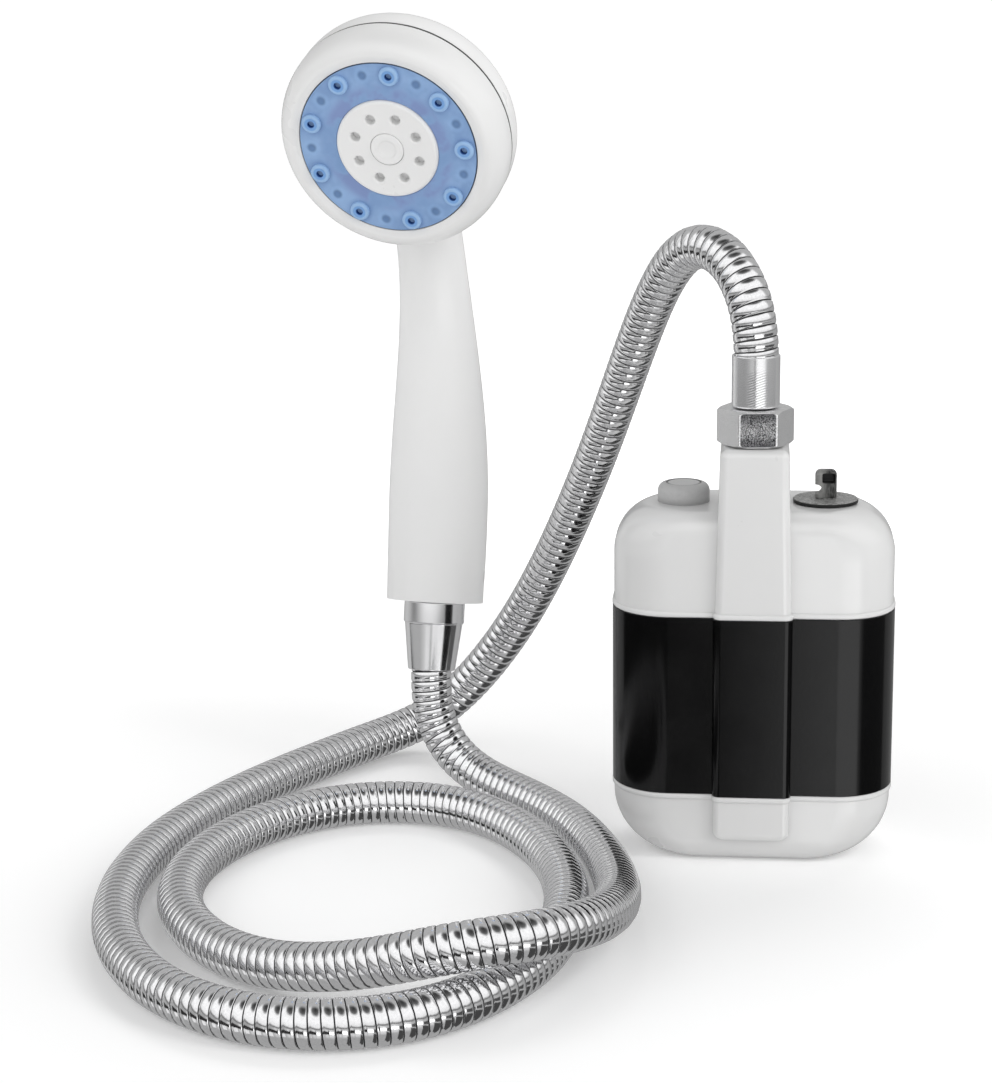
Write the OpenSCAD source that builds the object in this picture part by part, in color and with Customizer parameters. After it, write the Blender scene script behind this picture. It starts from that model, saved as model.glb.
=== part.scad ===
// Camp shower set: a cordless pump, its ribbed metal hose and a hand shower.
// Millimetres. The origin is the middle of the pump's base, X runs to the pump's
// right as seen from its front, Y to its back and Z up.

/* [Pump case] */
// Width of the two caps
case_w = 89; // [86:1:100]
// Depth of the two caps, without the front rib
case_d = 44; // [44:1:54]
// Plan radius of the vertical corners
case_corner = 18; // [15:0.5:20]
// Wall of the caps
cap_wall = 3.2; // [2.8:0.1:3.4]
// Height of the bottom cap
base_h = 23.5; // [23:0.5:32]
// Height of the middle band
band_h = 56; // [54:1:80]
// Height of the top cap up to its shoulder
top_h = 33; // [31:0.5:40]
// Side radius of the shoulders
shoulder_r = 15; // [12:0.5:17]
// Side radius of the bottom corners
foot_r = 20; // [16:0.5:21]
// Rounding of the top's front and back edges
top_edge = 6; // [4.5:0.5:7]
// Rounding of the base's front and back edges
base_edge = 8; // [6:0.5:9]
// How far the band lies inside the caps
band_inset = 0.8; // [0.4:0.1:1.2]
// Wall of the band
band_wall = 2; // [1.6:0.1:2.4]
// Height of the bead along the edge of each cap
lip_h = 2; // [1.4:0.2:3]
// How far the bead stands proud
lip_out = 0.6; // [0.3:0.1:1]
// Thickness of the flat gaskets
gasket_t = 1; // [0.6:0.1:1.4]
// Height of the tongue by which a cap enters the band
tongue_h = 4; // [3:0.5:6]
// Wall of the tongue
tongue_t = 1.6; // [1.2:0.1:2]

/* [Front rib and neck] */
// Width of the front rib
rib_w = 24; // [23:0.5:27]
// How far the rib stands proud of the case
rib_out = 3; // [2.5:0.25:4]
// Radius of the rib's corners
rib_corner = 3; // [2:0.25:4]
// Height of the rib's lower end above the floor
rib_foot = 9; // [4:0.5:10]
// Width of the neck at its top
neck_w = 21.5; // [20:0.5:23]
// Depth of the neck
neck_d = 26; // [25:0.5:27]
// Height of the neck above the shoulder
neck_h = 21; // [18:0.5:30]
// Rounding of the neck's top edge
neck_edge = 2.5; // [1.5:0.25:3]

/* [Controls] */
// Distance of the button and of the plug from the middle
control_x = 22.5; // [22.5:0.25:24]
// Diameter of the power button
button_d = 16.5; // [15:0.5:17]
// Height of the power button above the shoulder
button_h = 6; // [5:0.5:10]
// Rounding of the button's shoulder
button_r = 2.5; // [1:0.25:3]
// Diameter of the dished circle in the button
dish_d = 11; // [8:0.2:11.4]
// Travel of the button
button_travel = 1.2; // [0.8:0.1:1.4]
// Diameter of the charge plug's flange
flange_d = 20.6; // [18:0.2:21]
// Thickness of the charge plug's flange
flange_t = 1.25; // [1:0.25:3]
// Diameter of the charge port
port_d = 12.2; // [11:0.2:13]
// Width of the pull tab
tab_w = 6.8; // [5.5:0.2:8]
// Height of the pull tab above the flange
tab_h = 9.2; // [7.5:0.1:12]
// Depth of the pull tab
tab_t = 5; // [3:0.5:6]

/* [Pump works] */
// Diameter of the motor
motor_d = 23.4; // [20:0.2:23.4]
// Length of the motor
motor_l = 31; // [26:1:40]
// Diameter of the motor shaft
shaft_d = 2; // [1.6:0.1:2.6]
// Diameter of the impeller
impeller_d = 20; // [17:0.5:20.5]
// Number of impeller blades
blades = 6; // [4:1:8]
// Height of the posts under the motor plate
post_h = 18; // [17:0.5:20]
// Thickness of the motor plate
plate_t = 3; // [2.4:0.2:4]
// Diameter of a battery cell
cell_d = 18.4; // [16:0.2:18.6]
// Length of a battery cell
cell_l = 65; // [50:1:66]
// Outside diameter of the riser tube
riser_d = 9.6; // [8.6:0.2:10]
// Wall of the riser tube
riser_wall = 1; // [0.8:0.1:1.4]
// Distance of the case screws from the front and the back of the case
screw_edge = 9.5; // [9:0.1:9.5]
// Diameter of the case screws
screw_d = 3; // [2.6:0.1:3.2]

/* [Hose and nuts] */
// Outside diameter of the hose
hose_d = 14; // [13:0.1:14]
// Diameter of the hose's bore
hose_bore = 9.6; // [8.4:0.2:10]
// Depth of the grooves between the ribs
rib_depth = 0.7; // [0.4:0.1:0.9]
// Number of ribs on the whole hose
ribs = 180; // [120:20:200]
// Width of the hex nut across its flats
nut_af = 21; // [20.5:0.5:24]
// How far the hex nut is turned from facing the front
nut_turn = 5; // [0:1:30]
// Height of the hex nut
nut_h = 11.3; // [10.5:0.1:14]
// Outside diameter of the threads
thread_d = 16.4; // [15:0.2:17]
// Diameter of the ferrule
ferrule_d = 15; // [14.8:0.1:16]
// Length of the hose that lies inside the ferrule
ferrule_l = 14; // [12:0.5:18]
// Large diameter of the conical nut
cone_d = 21; // [20.6:0.2:25]
// Small diameter of the conical nut
cone_small = 16.4; // [16.2:0.1:18]
// Length of the conical nut
cone_l = 24; // [22:0.5:30]

/* [Hand shower] */
// Largest width of the grip
grip_w = 34.4; // [32:0.2:38]
// Largest depth of the grip
grip_d = 29; // [26:0.5:32]
// Share of the grip's size that its flat end keeps
butt_share = 0.95; // [0.88:0.01:1]
// Height of the widest place above the flat end
belly_z = 32; // [20:1:45]
// Width of the handle's neck
slim_w = 23.6; // [20:0.2:26]
// Depth of the handle's neck
slim_d = 19; // [17:0.5:22]
// Wall of the handle
handle_wall = 2.6; // [2:0.1:3.2]
// Diameter of the head at its seam
head_d = 76; // [72:1:90]
// Straight rim behind the seam
rim_l = 5.5; // [5:0.5:9]
// Depth of the dome behind the rim
dome_l = 18; // [15:1:26]
// Height of the bezel in front of the seam
bezel_h = 12.5; // [11.5:0.5:16]
// Diameter of the bezel's front
bezel_front = 64; // [62.5:0.5:66]
// Diameter of the nozzle plate
plate_d = 59; // [57:0.5:60]
// Diameter of the centre disc
disc_d = 33.6; // [30:0.4:35]
// Number of nozzle tips
tips = 9; // [6:1:9]
// Circle on which the tips stand
tip_ring = 51.5; // [48:0.5:52]
// Diameter of a tip's collar
tip_d = 6.4; // [5.4:0.2:6.8]
// Diameter of a tip's spray hole
spray_d = 2.4; // [1.6:0.2:2.8]
// Number of holes in the centre disc
disc_holes = 8; // [6:1:10]
// Circle of the holes in the centre disc
disc_ring = 22; // [20:0.2:24]
// Diameter of the holes in the centre disc
disc_hole_d = 3.2; // [2:0.1:3.6]
// Diameter of the centre cap
cap_d = 11; // [9.6:0.1:12]

/* [Where the hand shower stands] */
// Middle of the handle's flat end, left of the pump
hand_x = -110; // [-114:1:-106]
// Middle of the handle's flat end, behind the pump's middle
hand_y = 50; // [47:1:53]
// Height of the handle's flat end
hand_z = 67; // [64:1:72]
// Turn of the hand shower to the left
hand_turn = 11; // [0:1:25]
// Lean of the handle's lower end
tail_tilt = 12; // [8:1:15]
// Height of the seam's middle above the flat end
head_z = 163; // [155:1:175]
// Distance of the seam's middle in front of the flat end
head_out = 28; // [24:1:34]
// Downward tilt of the head
head_tilt = 23; // [10:1:30]

/* [Hidden] */
$fn = 48;
fit_gap = 0.2;      // between pieces that stay put
run_gap = 0.3;      // between pieces that move
skin = 0.01;        // overlap that keeps a cut clean
corner_steps = 6;   // facets in a quarter turn of a lofted corner
arc_step = 10;      // degrees between the rings of a rounded edge
boss_wall = 1.6;
band_boss_h = 10;   // height of the screw bosses in the band
screw_bite = 8;     // length of thread in a boss
hole_d = screw_d + fit_gap;

// Heights of the pump's stack
band_z = base_h + gasket_t;
band_top = band_z + band_h;
cap_z = band_top + gasket_t;
top_z = cap_z + top_h;
ceiling_z = top_z - cap_wall;
neck_z = top_z + neck_h;
plate_z = post_h + plate_t;

// Plan of the pump
front_y = -case_d / 2 - rib_out;
band_in_w = case_w - 2 * (band_inset + band_wall);
band_in_d = case_d - 2 * (band_inset + band_wall);
band_in_r = case_corner - band_inset - band_wall;
tongue_in_w = band_in_w - 2 * (fit_gap + tongue_t);
cup_wall = 1.2;
motor_ring_d = motor_d + fit_gap + 2 * cup_wall;
motor_y = case_d / 2 - cap_wall - run_gap - motor_ring_d / 2;
outlet_y = min(front_y + neck_d / 2, motor_y - (motor_d + riser_d) / 2 - 2 * run_gap);
cell_x = tongue_in_w / 2 - fit_gap - cup_wall - fit_gap - cell_d / 2;
cell_y = 2;
screw_y = case_d / 2 - screw_edge;
volute_wall = 1.5;
volute_r = impeller_d / 2 + 1 + volute_wall;
duct_boss_d = riser_d + fit_gap + 2 * volute_wall;
boss_r = screw_d / 2 + boss_wall + fit_gap / 2;
head_r = screw_d * 0.9;
post_r = head_r + fit_gap + 1.1;
screw_x = max(volute_r, motor_d / 2) + post_r + run_gap;

// Heights inside the base
floor_t = cap_wall;
grille_r = 8.8;
grille_rim = 1.7;
grille_rim_t = 1;
screen_t = 0.6;
cover_z = floor_t + grille_rim_t + screen_t + 1.4;
cover_t = 2;
volute_z = cover_z + cover_t;
impeller_z = volute_z + 1;
seal_t = 2;

// Board under the shoulder
switch_h = 3.5;
plunger_h = 4.5;
board_t = 1.6;
stem_end = ceiling_z - 8.1;
board_z = stem_end - button_travel - run_gap - plunger_h - switch_h - board_t;
board_post_x = control_x + 11.5;
board_post_r = 3;
board_front = outlet_y + riser_d / 2 + 2 * run_gap;
board_back = screw_y - boss_r - run_gap;
board_edge = 3;     // from the board's back to its screws
board_post_y = board_back - board_edge;
board_screw_h = 1.6;
board_bite = 5;       // length of thread in a board post
well_in_d = button_d + 2.6;
well_wall = 1.2;
button_flange_d = well_in_d - 2 * run_gap;
button_flange_t = 1.2;
boot_t = 1.6;
stem_d = 6;
plug_r = port_d / 2 - run_gap;
plug_l = ceiling_z - stem_end;
plug_seat = 0.05;
seal_r = 0.75;
seal_depth = 1.4;

// Outlet, from the neck up
nut_z = neck_z + run_gap;
nipple_top = nut_z + 5.2;
washer_t = 1.5;
insert_t = 1.3;
web_z = nipple_top + washer_t + insert_t + run_gap;
ferrule_z = nut_z + nut_h + run_gap;
seat_t = 2.1;
hose_z = ferrule_z + seat_t;
ferrule_top = hose_z + ferrule_l;
water_d = riser_d - 2 * riser_wall;
insert_neck_d = 11;
nipple_shank_d = 12.6;
nipple_grip = 6;

// Hand shower, in its own frame with the flat end at the origin
head_r_out = head_d / 2;
head_wall = 2.6;
root_back = rim_l + dome_l / 4;
root_down = head_d / 4;
tail_dir = [0, sin(tail_tilt), cos(tail_tilt)];
head_dir = [0, -cos(head_tilt), -sin(head_tilt)];
head_up = [0, -sin(head_tilt), cos(head_tilt)];
head_mid = [0, -head_out, head_z];
neck_lean = 38;
root_mid = head_mid - root_back * head_dir - root_down * head_up;
root_dir = [0, -sin(neck_lean), cos(neck_lean)];
spine = [[0, 0, 0], head_z * 0.37 * tail_dir, root_mid - head_z * 0.25 * root_dir, root_mid];
slim_z = head_z * 0.8;
handle_rings = 18;
handle_sides = 32;
spigot_l = 9.5;
way_l = 12;           // straight start of the bore in the handle
tail_washer_t = 1.5;
tail_flange_t = 1.3;
tail_seat = spigot_l + tail_washer_t + tail_flange_t + 0.7;

// Head, with its seam at zero and the spray towards plus
seam = 0.4;
spigot_in = 3;
seal_room = 1.6;
flow_t = 1.2;
ledge_z = bezel_h - 4.5;
face_z = bezel_h - 0.5;
post_top = ledge_z - 1.6;
head_post_r = 4.5;
rim_in_r = head_r_out - fit_gap - head_wall;
bezel_in_r = plate_d / 2 + run_gap;
tip_shank_d = spray_d + 2;
pivot_d = 3;

// Route of the hose: the middle of the hose at points chosen by hand. The first
// four points stay on the outlet's axis and the last four on the handle's.
outlet_points = [for (up = [0, 6, 12, 19]) [0, outlet_y, hose_z + up]];
arch_points = [
    [-2, -9, 181], [-9, 2, 193], [-20, 15, 196], [-30, 28, 184], [-40, 41, 158],
    [-52, 54, 122], [-66, 67, 87], [-82, 79, 54], [-101, 87, 27], [-119, 88, 11]
];
turn_points = [
    [-138, 76, 7], [-157, 45, 7], [-175, 12, 7], [-190, -29, 7], [-194, -75, 7],
    [-184, -120, 7], [-160, -156, 7], [-125, -173, 7], [-90, -166, 7], [-66, -140, 7],
    [-54, -105, 7], [-54, -64, 7], [-67, -24, 7], [-93, 9, 7], [-130, 13, 7],
    [-161, -11, 7], [-177, -52, 7], [-172, -96, 7], [-145, -131, 7], [-112, -145, 12],
    [-84, -152, 22], [-58, -148, 25], [-41, -121, 19], [-37, -79, 10], [-46, -34, 7]
];
lead_points = [[-62, 2, 7], [-83, 25, 7], [-100, 38, 11], [-110, 43, 24]];
tail_axis = [sin(hand_turn) * tail_dir.y, cos(hand_turn) * tail_dir.y, tail_dir.z];
tail_points = [
    for (down = [16, 10, 5, 0]) [hand_x, hand_y, hand_z] - (tail_seat + down) * tail_axis
];
route = concat(outlet_points, arch_points, turn_points, lead_points, tail_points);
route_steps = 12;
hose_sides = 8;
riser_ribs = round(ribs * 0.24);
lead_ribs = round(ribs * 0.11);

// Lofting: a stack of rings, each counterclockwise about the way the stack runs

function rounded_ring(half_w, half_d, r, z, y = 0) = [
    for (q = [0:3], i = [0:corner_steps])
        let (turn = 90 * (q + i / corner_steps),
             side_x = q == 0 || q == 3 ? 1 : -1,
             side_y = q < 2 ? 1 : -1)
            [side_x * (half_w - r) + r * cos(turn), y + side_y * (half_d - r) + r * sin(turn), z]
];

module loft(rings) {
    n = len(rings[0]);
    last = (len(rings) - 1) * n;
    sides = [
        for (k = [0:len(rings) - 2], i = [0:n - 1])
            let (a = k * n + i, b = k * n + (i + 1) % n)
                each [[a, a + n, b + n], [a, b + n, b]]
    ];
    ends = [[for (i = [0:n - 1]) i], [for (i = [n - 1:-1:0]) last + i]];
    polyhedron(points = [for (ring = rings) each ring], faces = concat(sides, ends));
}

// A cap's outside or inside, open end down at zero and rounded end at its height
function dome_inset(z, h, edge) = z > h - edge ? edge - sqrt(max(0, edge * edge - pow(z - h + edge, 2))) : 0;

function dome_rings(half_w, half_d, r, side, edge, h, start) = concat(
    [rounded_ring(half_w, half_d, r, start)],
    [
        for (turn = [0:arc_step:90])
            let (z = h - side + side * sin(turn), inset = dome_inset(z, h, edge))
                rounded_ring(half_w - side + side * cos(turn), half_d - inset, r - inset, z)
    ]
);

module dome(side, edge, h, inset = 0, start = 0) {
    loft(dome_rings(case_w / 2 - inset, case_d / 2 - inset, case_corner - inset,
                    side - inset, edge - inset, h - inset, start));
}

// Plan shapes

module rounded_rect(w, d, r) {
    square([w, d - 2 * r], center = true);
    square([w - 2 * r, d], center = true);
    for (x = [-1, 1], y = [-1, 1]) translate([x * (w / 2 - r), y * (d / 2 - r)]) circle(r);
}

module rib_plan(grow) {
    reach = rib_out + case_corner / 2;
    translate([0, front_y + reach / 2])
        rounded_rect(rib_w + 2 * grow, reach + 2 * grow, rib_corner + grow);
}

module case_plan(grow) {
    rounded_rect(case_w + 2 * grow, case_d + 2 * grow, case_corner + grow);
    rib_plan(grow);
}

module band_hollow() {
    rounded_rect(band_in_w, band_in_d, band_in_r);
    rib_plan(-band_inset - band_wall);
}

module tongue_plan() {
    inset = fit_gap + tongue_t;
    difference() {
        rounded_rect(band_in_w - 2 * fit_gap, band_in_d - 2 * fit_gap, band_in_r - fit_gap);
        rounded_rect(band_in_w - 2 * inset, band_in_d - 2 * inset, band_in_r - inset);
        translate([0, front_y]) square([rib_w, case_d - band_in_d + 2 * rib_out + 4 * inset], center = true);
        translate([0, motor_y]) circle(d = motor_ring_d + 2 * fit_gap);
    }
}

module at_screws() {
    for (x = [-1, 1], y = [-1, 1]) translate([x * screw_x, y * screw_y, 0]) children();
}

module at_outlet() { translate([0, outlet_y, 0]) children(); }
module at_motor() { translate([0, motor_y, 0]) children(); }
module at_button() { translate([-control_x, 0, 0]) children(); }
module at_plug() { translate([control_x, 0, 0]) children(); }

module tube(outer_d, inner_d, h) {
    difference() {
        cylinder(d = outer_d, h = h);
        translate([0, 0, -1]) cylinder(d = inner_d, h = h + 2);
    }
}

// Pump case

module cap_lip() {
    difference() {
        linear_extrude(lip_h) case_plan(lip_out);
        translate([0, 0, -1]) linear_extrude(lip_h + 2) case_plan(-cap_wall + tongue_t);
    }
}

module bottom_rib() {
    intersection() {
        linear_extrude(base_h) rib_plan(0);
        translate([0, 0, rib_foot]) rotate([90, 0, 0]) linear_extrude(case_d + 2 * rib_out, center = true)
            translate([0, base_h / 2]) rounded_rect(rib_w, base_h, rib_w / 4);
    }
}

module bottom_shell() {
    difference() {
        union() {
            translate([0, 0, base_h]) mirror([0, 0, 1]) dome(foot_r, base_edge, base_h);
            bottom_rib();
            translate([0, 0, base_h]) mirror([0, 0, 1]) cap_lip();
        }
        translate([0, 0, base_h]) mirror([0, 0, 1]) dome(foot_r, base_edge, base_h, cap_wall, -1);
    }
}

module intake_groove() {
    translate([-2.5, 0, -1]) cube([5, case_d, 1.8]);
}

module bottom_cap() {
    head_room = screw_d * 1.2;
    color("white") difference() {
        union() {
            bottom_shell();
            translate([0, 0, base_h - tongue_h]) linear_extrude(2 * tongue_h) tongue_plan();
            at_screws() translate([0, 0, floor_t / 2]) cylinder(r = post_r, h = post_h - floor_t / 2);
        }
        at_screws() translate([0, 0, -1]) cylinder(d = hole_d, h = post_h + 2);
        at_screws() translate([0, 0, -1]) cylinder(r = head_r + fit_gap, h = head_room + 1);
        at_motor() translate([0, 0, -1]) cylinder(r = grille_r + fit_gap, h = floor_t + 2);
        at_motor() translate([0, 0, floor_t]) cylinder(r = grille_r + grille_rim + fit_gap, h = cover_z - floor_t);
        at_motor() intake_groove();
        at_outlet() translate([0, 0, cover_z]) cylinder(d = duct_boss_d + 2 * run_gap, h = base_h);
    }
}

module band_bosses(z, h) {
    for (x = [-1, 1], y = [-1, 1]) translate([x * screw_x, y * screw_y, z]) difference() {
        union() {
            cylinder(r = boss_r, h = h);
            translate([-boss_wall, y > 0 ? 0 : -band_in_d / 2 + screw_y - skin, 0])
                cube([2 * boss_wall, band_in_d / 2 - screw_y + skin, h]);
        }
        translate([0, 0, -1]) cylinder(d = hole_d, h = h + 2);
    }
}

module middle_band() {
    color("#1a1a1c") translate([0, 0, band_z]) {
        difference() {
            linear_extrude(band_h) case_plan(-band_inset);
            translate([0, 0, -1]) linear_extrude(band_h + 2) band_hollow();
        }
        band_bosses(tongue_h + fit_gap, band_boss_h);
        band_bosses(band_h - tongue_h - fit_gap - band_boss_h, band_boss_h);
    }
}

function neck_rings(inset, foot, top) = let (r = rib_corner + 1 - inset / 2) concat(
    [rounded_ring(rib_w / 2 - inset, neck_d / 2 - inset, r, foot, outlet_y)],
    [
        for (turn = [0:arc_step * 3:90])
            let (edge = neck_edge * (1 - cos(turn)))
                rounded_ring(neck_w / 2 - inset - edge, neck_d / 2 - inset - edge, max(r - edge, 1),
                             top - neck_edge * (1 - sin(turn)), outlet_y)
    ]
);

module top_shell() {
    difference() {
        union() {
            translate([0, 0, cap_z]) dome(shoulder_r, top_edge, top_h);
            loft(neck_rings(0, cap_z, neck_z));
            translate([0, 0, cap_z]) cap_lip();
        }
        translate([0, 0, cap_z]) dome(shoulder_r, top_edge, top_h, cap_wall, -1);
        loft(neck_rings(cap_wall, cap_z - 1, top_z + neck_edge));
    }
}

module top_cap() {
    boss_z = cap_z + fit_gap;
    well_z = stem_end + run_gap;
    ceiling_room = cap_wall / 2;
    color("white") difference() {
        union() {
            top_shell();
            translate([0, 0, cap_z - tongue_h]) linear_extrude(2 * tongue_h) tongue_plan();
            at_screws() translate([0, 0, boss_z]) cylinder(r = boss_r, h = ceiling_z + ceiling_room - boss_z);
            at_button() translate([0, 0, well_z])
                cylinder(d = well_in_d + 2 * well_wall, h = ceiling_z + ceiling_room - well_z);
            at_plug() translate([0, 0, well_z])
                cylinder(d = port_d + 2 * well_wall, h = ceiling_z + ceiling_room - well_z);
            for (x = [-1, 1]) translate([x * board_post_x, board_post_y, board_z + board_t])
                cylinder(r = board_post_r, h = ceiling_z - board_z - board_t);
        }
        at_outlet() translate([0, 0, top_z]) cylinder(d = nipple_shank_d + fit_gap, h = neck_h + 1);
        at_button() translate([0, 0, well_z - 1]) cylinder(d = well_in_d, h = ceiling_z - well_z + 1);
        at_button() translate([0, 0, ceiling_z - 1]) cylinder(d = button_d + 2 * run_gap, h = cap_wall + 2);
        at_plug() translate([0, 0, well_z - 1]) cylinder(d = port_d, h = top_z - well_z + 2);
        at_screws() translate([0, 0, boss_z - 1]) cylinder(d = hole_d, h = top_h / 2);
        for (x = [-1, 1]) translate([x * board_post_x, board_post_y, board_z])
            cylinder(d = board_post_r, h = 8);
    }
}

module gasket(z) {
    edge = 0.6;
    color("#2b2b2b") translate([0, 0, z]) difference() {
        linear_extrude(gasket_t) case_plan(-band_inset - edge);
        translate([0, 0, -1]) linear_extrude(gasket_t + 2) {
            rounded_rect(band_in_w, band_in_d, band_in_r);
            rib_plan(-band_inset - band_wall);
        }
    }
}

module base_gasket() { gasket(base_h); }
module top_gasket() { gasket(band_top); }

module case_screw(l) {
    cylinder(r = head_r, h = screw_d * 0.8);
    cylinder(d = screw_d, h = l);
}

module base_screws() {
    start = screw_d * 0.4;
    color("silver") at_screws() translate([0, 0, start]) case_screw(band_z + tongue_h + screw_bite - start);
}

module top_screws() {
    boss_foot = band_top - tongue_h - fit_gap - band_boss_h;
    start = boss_foot - screw_d * 0.8;
    color("silver") at_screws() translate([0, 0, start]) case_screw(cap_z + screw_bite - start);
}

// Motor, impeller and water way

module motor_plate() {
    edge = 2;
    inset = fit_gap + tongue_t + edge;
    ring_h = 5;
    color("dimgray") difference() {
        union() {
            translate([0, 0, post_h]) linear_extrude(plate_t)
                rounded_rect(band_in_w - 2 * inset, band_in_d - 2 * inset, band_in_r - inset);
            at_motor() translate([0, 0, post_h])
                cylinder(d = motor_ring_d, h = plate_t + ring_h);
            for (x = [-1, 1]) translate([x * cell_x, cell_y, post_h])
                cylinder(d = cell_d + fit_gap + 2 * cup_wall, h = plate_t + ring_h);
        }
        at_motor() translate([0, 0, plate_z]) cylinder(d = motor_d + fit_gap, h = ring_h + 1);
        at_motor() translate([0, 0, post_h - 1]) cylinder(d = shaft_d + 6, h = plate_t + 2);
        for (x = [-1, 1]) translate([x * cell_x, cell_y, plate_z]) cylinder(d = cell_d + fit_gap, h = ring_h + 1);
        at_outlet() translate([0, 0, post_h - 1]) cylinder(d = riser_d + fit_gap, h = plate_t + ring_h + 2);
        at_screws() translate([0, 0, post_h - 1]) cylinder(d = hole_d, h = plate_t + 2);
    }
}

module motor() {
    boss_h = 2;
    bearing = shaft_d + 0.1;
    color("lightgray") at_motor() translate([0, 0, plate_z]) difference() {
        union() {
            rotate_extrude() polygon([
                [0, 0], [motor_d / 2 - 1, 0], [motor_d / 2, 1], [motor_d / 2, motor_l - 1],
                [motor_d / 2 - 1, motor_l], [motor_d / 5, motor_l], [motor_d / 5, motor_l + boss_h], [0, motor_l + boss_h]
            ]);
            for (x = [-1, 1]) translate([x * motor_d / 3.4 - 1.2, -0.3, motor_l - skin]) cube([2.4, 0.6, 4]);
        }
        translate([0, 0, -1]) cylinder(d = bearing, h = motor_l + 1);
    }
}

module motor_shaft() {
    foot = impeller_z + 0.6;
    color("silver") at_motor() translate([0, 0, foot]) cylinder(d = shaft_d, h = plate_z + motor_l - 2 - foot);
}

module blade() {
    bow_r = impeller_d * 0.3;
    intersection() {
        translate([bow_r * 0.8, bow_r * 0.6]) difference() {
            circle(bow_r);
            circle(bow_r - 1);
        }
        difference() {
            circle(impeller_d / 2 - 0.2);
            circle(shaft_d);
        }
        translate([0, -impeller_d / 2]) square([impeller_d, impeller_d / 2 + bow_r * 0.6]);
    }
}

module impeller() {
    hub_r = shaft_d / 2 + 2;
    blade_h = 3.6;
    disc_t = 1.2;
    color("ivory") at_motor() translate([0, 0, impeller_z]) difference() {
        union() {
            for (i = [0:blades - 1]) rotate(i * 360 / blades) linear_extrude(blade_h + skin) blade();
            translate([0, 0, blade_h]) cylinder(d = impeller_d, h = disc_t);
            cylinder(r = hub_r, h = blade_h + disc_t + 0.4);
        }
        translate([0, 0, -1]) cylinder(d = shaft_d, h = blade_h + disc_t + 3);
    }
}

module shaft_seal() {
    color("#303030") at_motor() translate([0, 0, post_h - seal_t - fit_gap])
        tube(shaft_d + 5, shaft_d + 0.1, seal_t);
}

module volute() {
    roof = seal_t + 0.6;
    duct_w = water_d * 0.9;
    duct_z = volute_z + volute_wall;
    seat_z = post_h - 6;
    color("gainsboro") difference() {
        translate([0, 0, volute_z]) union() {
            at_motor() cylinder(r = volute_r, h = post_h - volute_z);
            at_outlet() cylinder(d = duct_boss_d, h = post_h - volute_z);
            translate([-duct_w / 2 - volute_wall, outlet_y, 0])
                cube([duct_w + 2 * volute_wall, motor_y - outlet_y, post_h - volute_z]);
        }
        at_motor() translate([0, 0, volute_z - 1]) cylinder(r = volute_r - volute_wall, h = post_h - roof - volute_z + 1);
        at_motor() translate([0, 0, post_h - seal_t - fit_gap]) cylinder(d = shaft_d + 5 + fit_gap, h = roof);
        at_motor() translate([0, 0, volute_z]) cylinder(d = shaft_d + 2, h = post_h);
        at_outlet() translate([0, 0, seat_z]) cylinder(d = riser_d + fit_gap, h = post_h);
        at_outlet() translate([0, 0, duct_z]) cylinder(d = water_d, h = post_h);
        translate([-duct_w / 2, outlet_y, duct_z]) cube([duct_w, motor_y - outlet_y, seat_z - duct_z]);
    }
}

module volute_cover() {
    eye_r = impeller_d / 4;
    collar_r = grille_r + grille_rim;
    collar_z = floor_t + grille_rim_t + screen_t;
    color("gainsboro") at_motor() difference() {
        union() {
            translate([0, 0, cover_z]) cylinder(r = volute_r, h = cover_t);
            translate([0, 0, collar_z]) cylinder(r = collar_r, h = cover_z - collar_z + skin);
        }
        translate([0, 0, collar_z - 1]) cylinder(r = collar_r - volute_wall, h = cover_z - collar_z + 1);
        translate([0, 0, collar_z]) cylinder(r = eye_r, h = volute_z);
    }
}

module intake_grille() {
    slot = 2;
    step = 3.4;
    lift = 0.8;
    color("white") at_motor() difference() {
        union() {
            translate([0, 0, lift]) cylinder(r = grille_r, h = floor_t + grille_rim_t - lift);
            translate([0, 0, floor_t]) cylinder(r = grille_r + grille_rim, h = grille_rim_t);
        }
        for (i = [-2:2]) let (reach = sqrt(pow(grille_r - 1.2, 2) - pow(i * step, 2)))
            translate([i * step - slot / 2, -reach, -1]) cube([slot, 2 * reach, floor_t + grille_rim_t + 2]);
    }
}

module filter_screen() {
    hole = 1.8;
    step = 3;
    rows = 2;
    color("silver") at_motor() translate([0, 0, floor_t + grille_rim_t]) difference() {
        cylinder(r = grille_r + grille_rim, h = screen_t);
        for (i = [-rows:rows], j = [-rows:rows]) translate([i * step, j * step, -1]) cylinder(d = hole, h = screen_t + 2);
    }
}

module riser_tube() {
    foot = post_h - 6;
    color("whitesmoke") at_outlet() translate([0, 0, foot]) tube(riser_d, water_d, top_z - foot);
}

// Battery and board

module battery_cells() {
    nub_d = cell_d * 0.35;
    color("royalblue") for (x = [-1, 1]) translate([x * cell_x, cell_y, plate_z]) {
        cylinder(d = cell_d, h = cell_l);
        cylinder(d = nub_d, h = cell_l + 1.4);
    }
}

module cell_bracket() {
    ring_h = 6;
    bar = 3;
    ring_d = cell_d + fit_gap + 2 * cup_wall;
    bracket_z = min(plate_z + cell_l - ring_h, band_top - tongue_h - fit_gap - band_boss_h - screw_d - ring_h);
    color("dimgray") translate([0, 0, bracket_z]) difference() {
        union() {
            for (x = [-1, 1]) translate([x * cell_x, cell_y, 0]) cylinder(d = ring_d, h = ring_h);
            translate([-cell_x, cell_y - bar / 2, 0]) cube([2 * cell_x, bar, ring_h]);
        }
        for (x = [-1, 1]) translate([x * cell_x, cell_y, -1]) cylinder(d = cell_d, h = ring_h + 2);
    }
}

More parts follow.
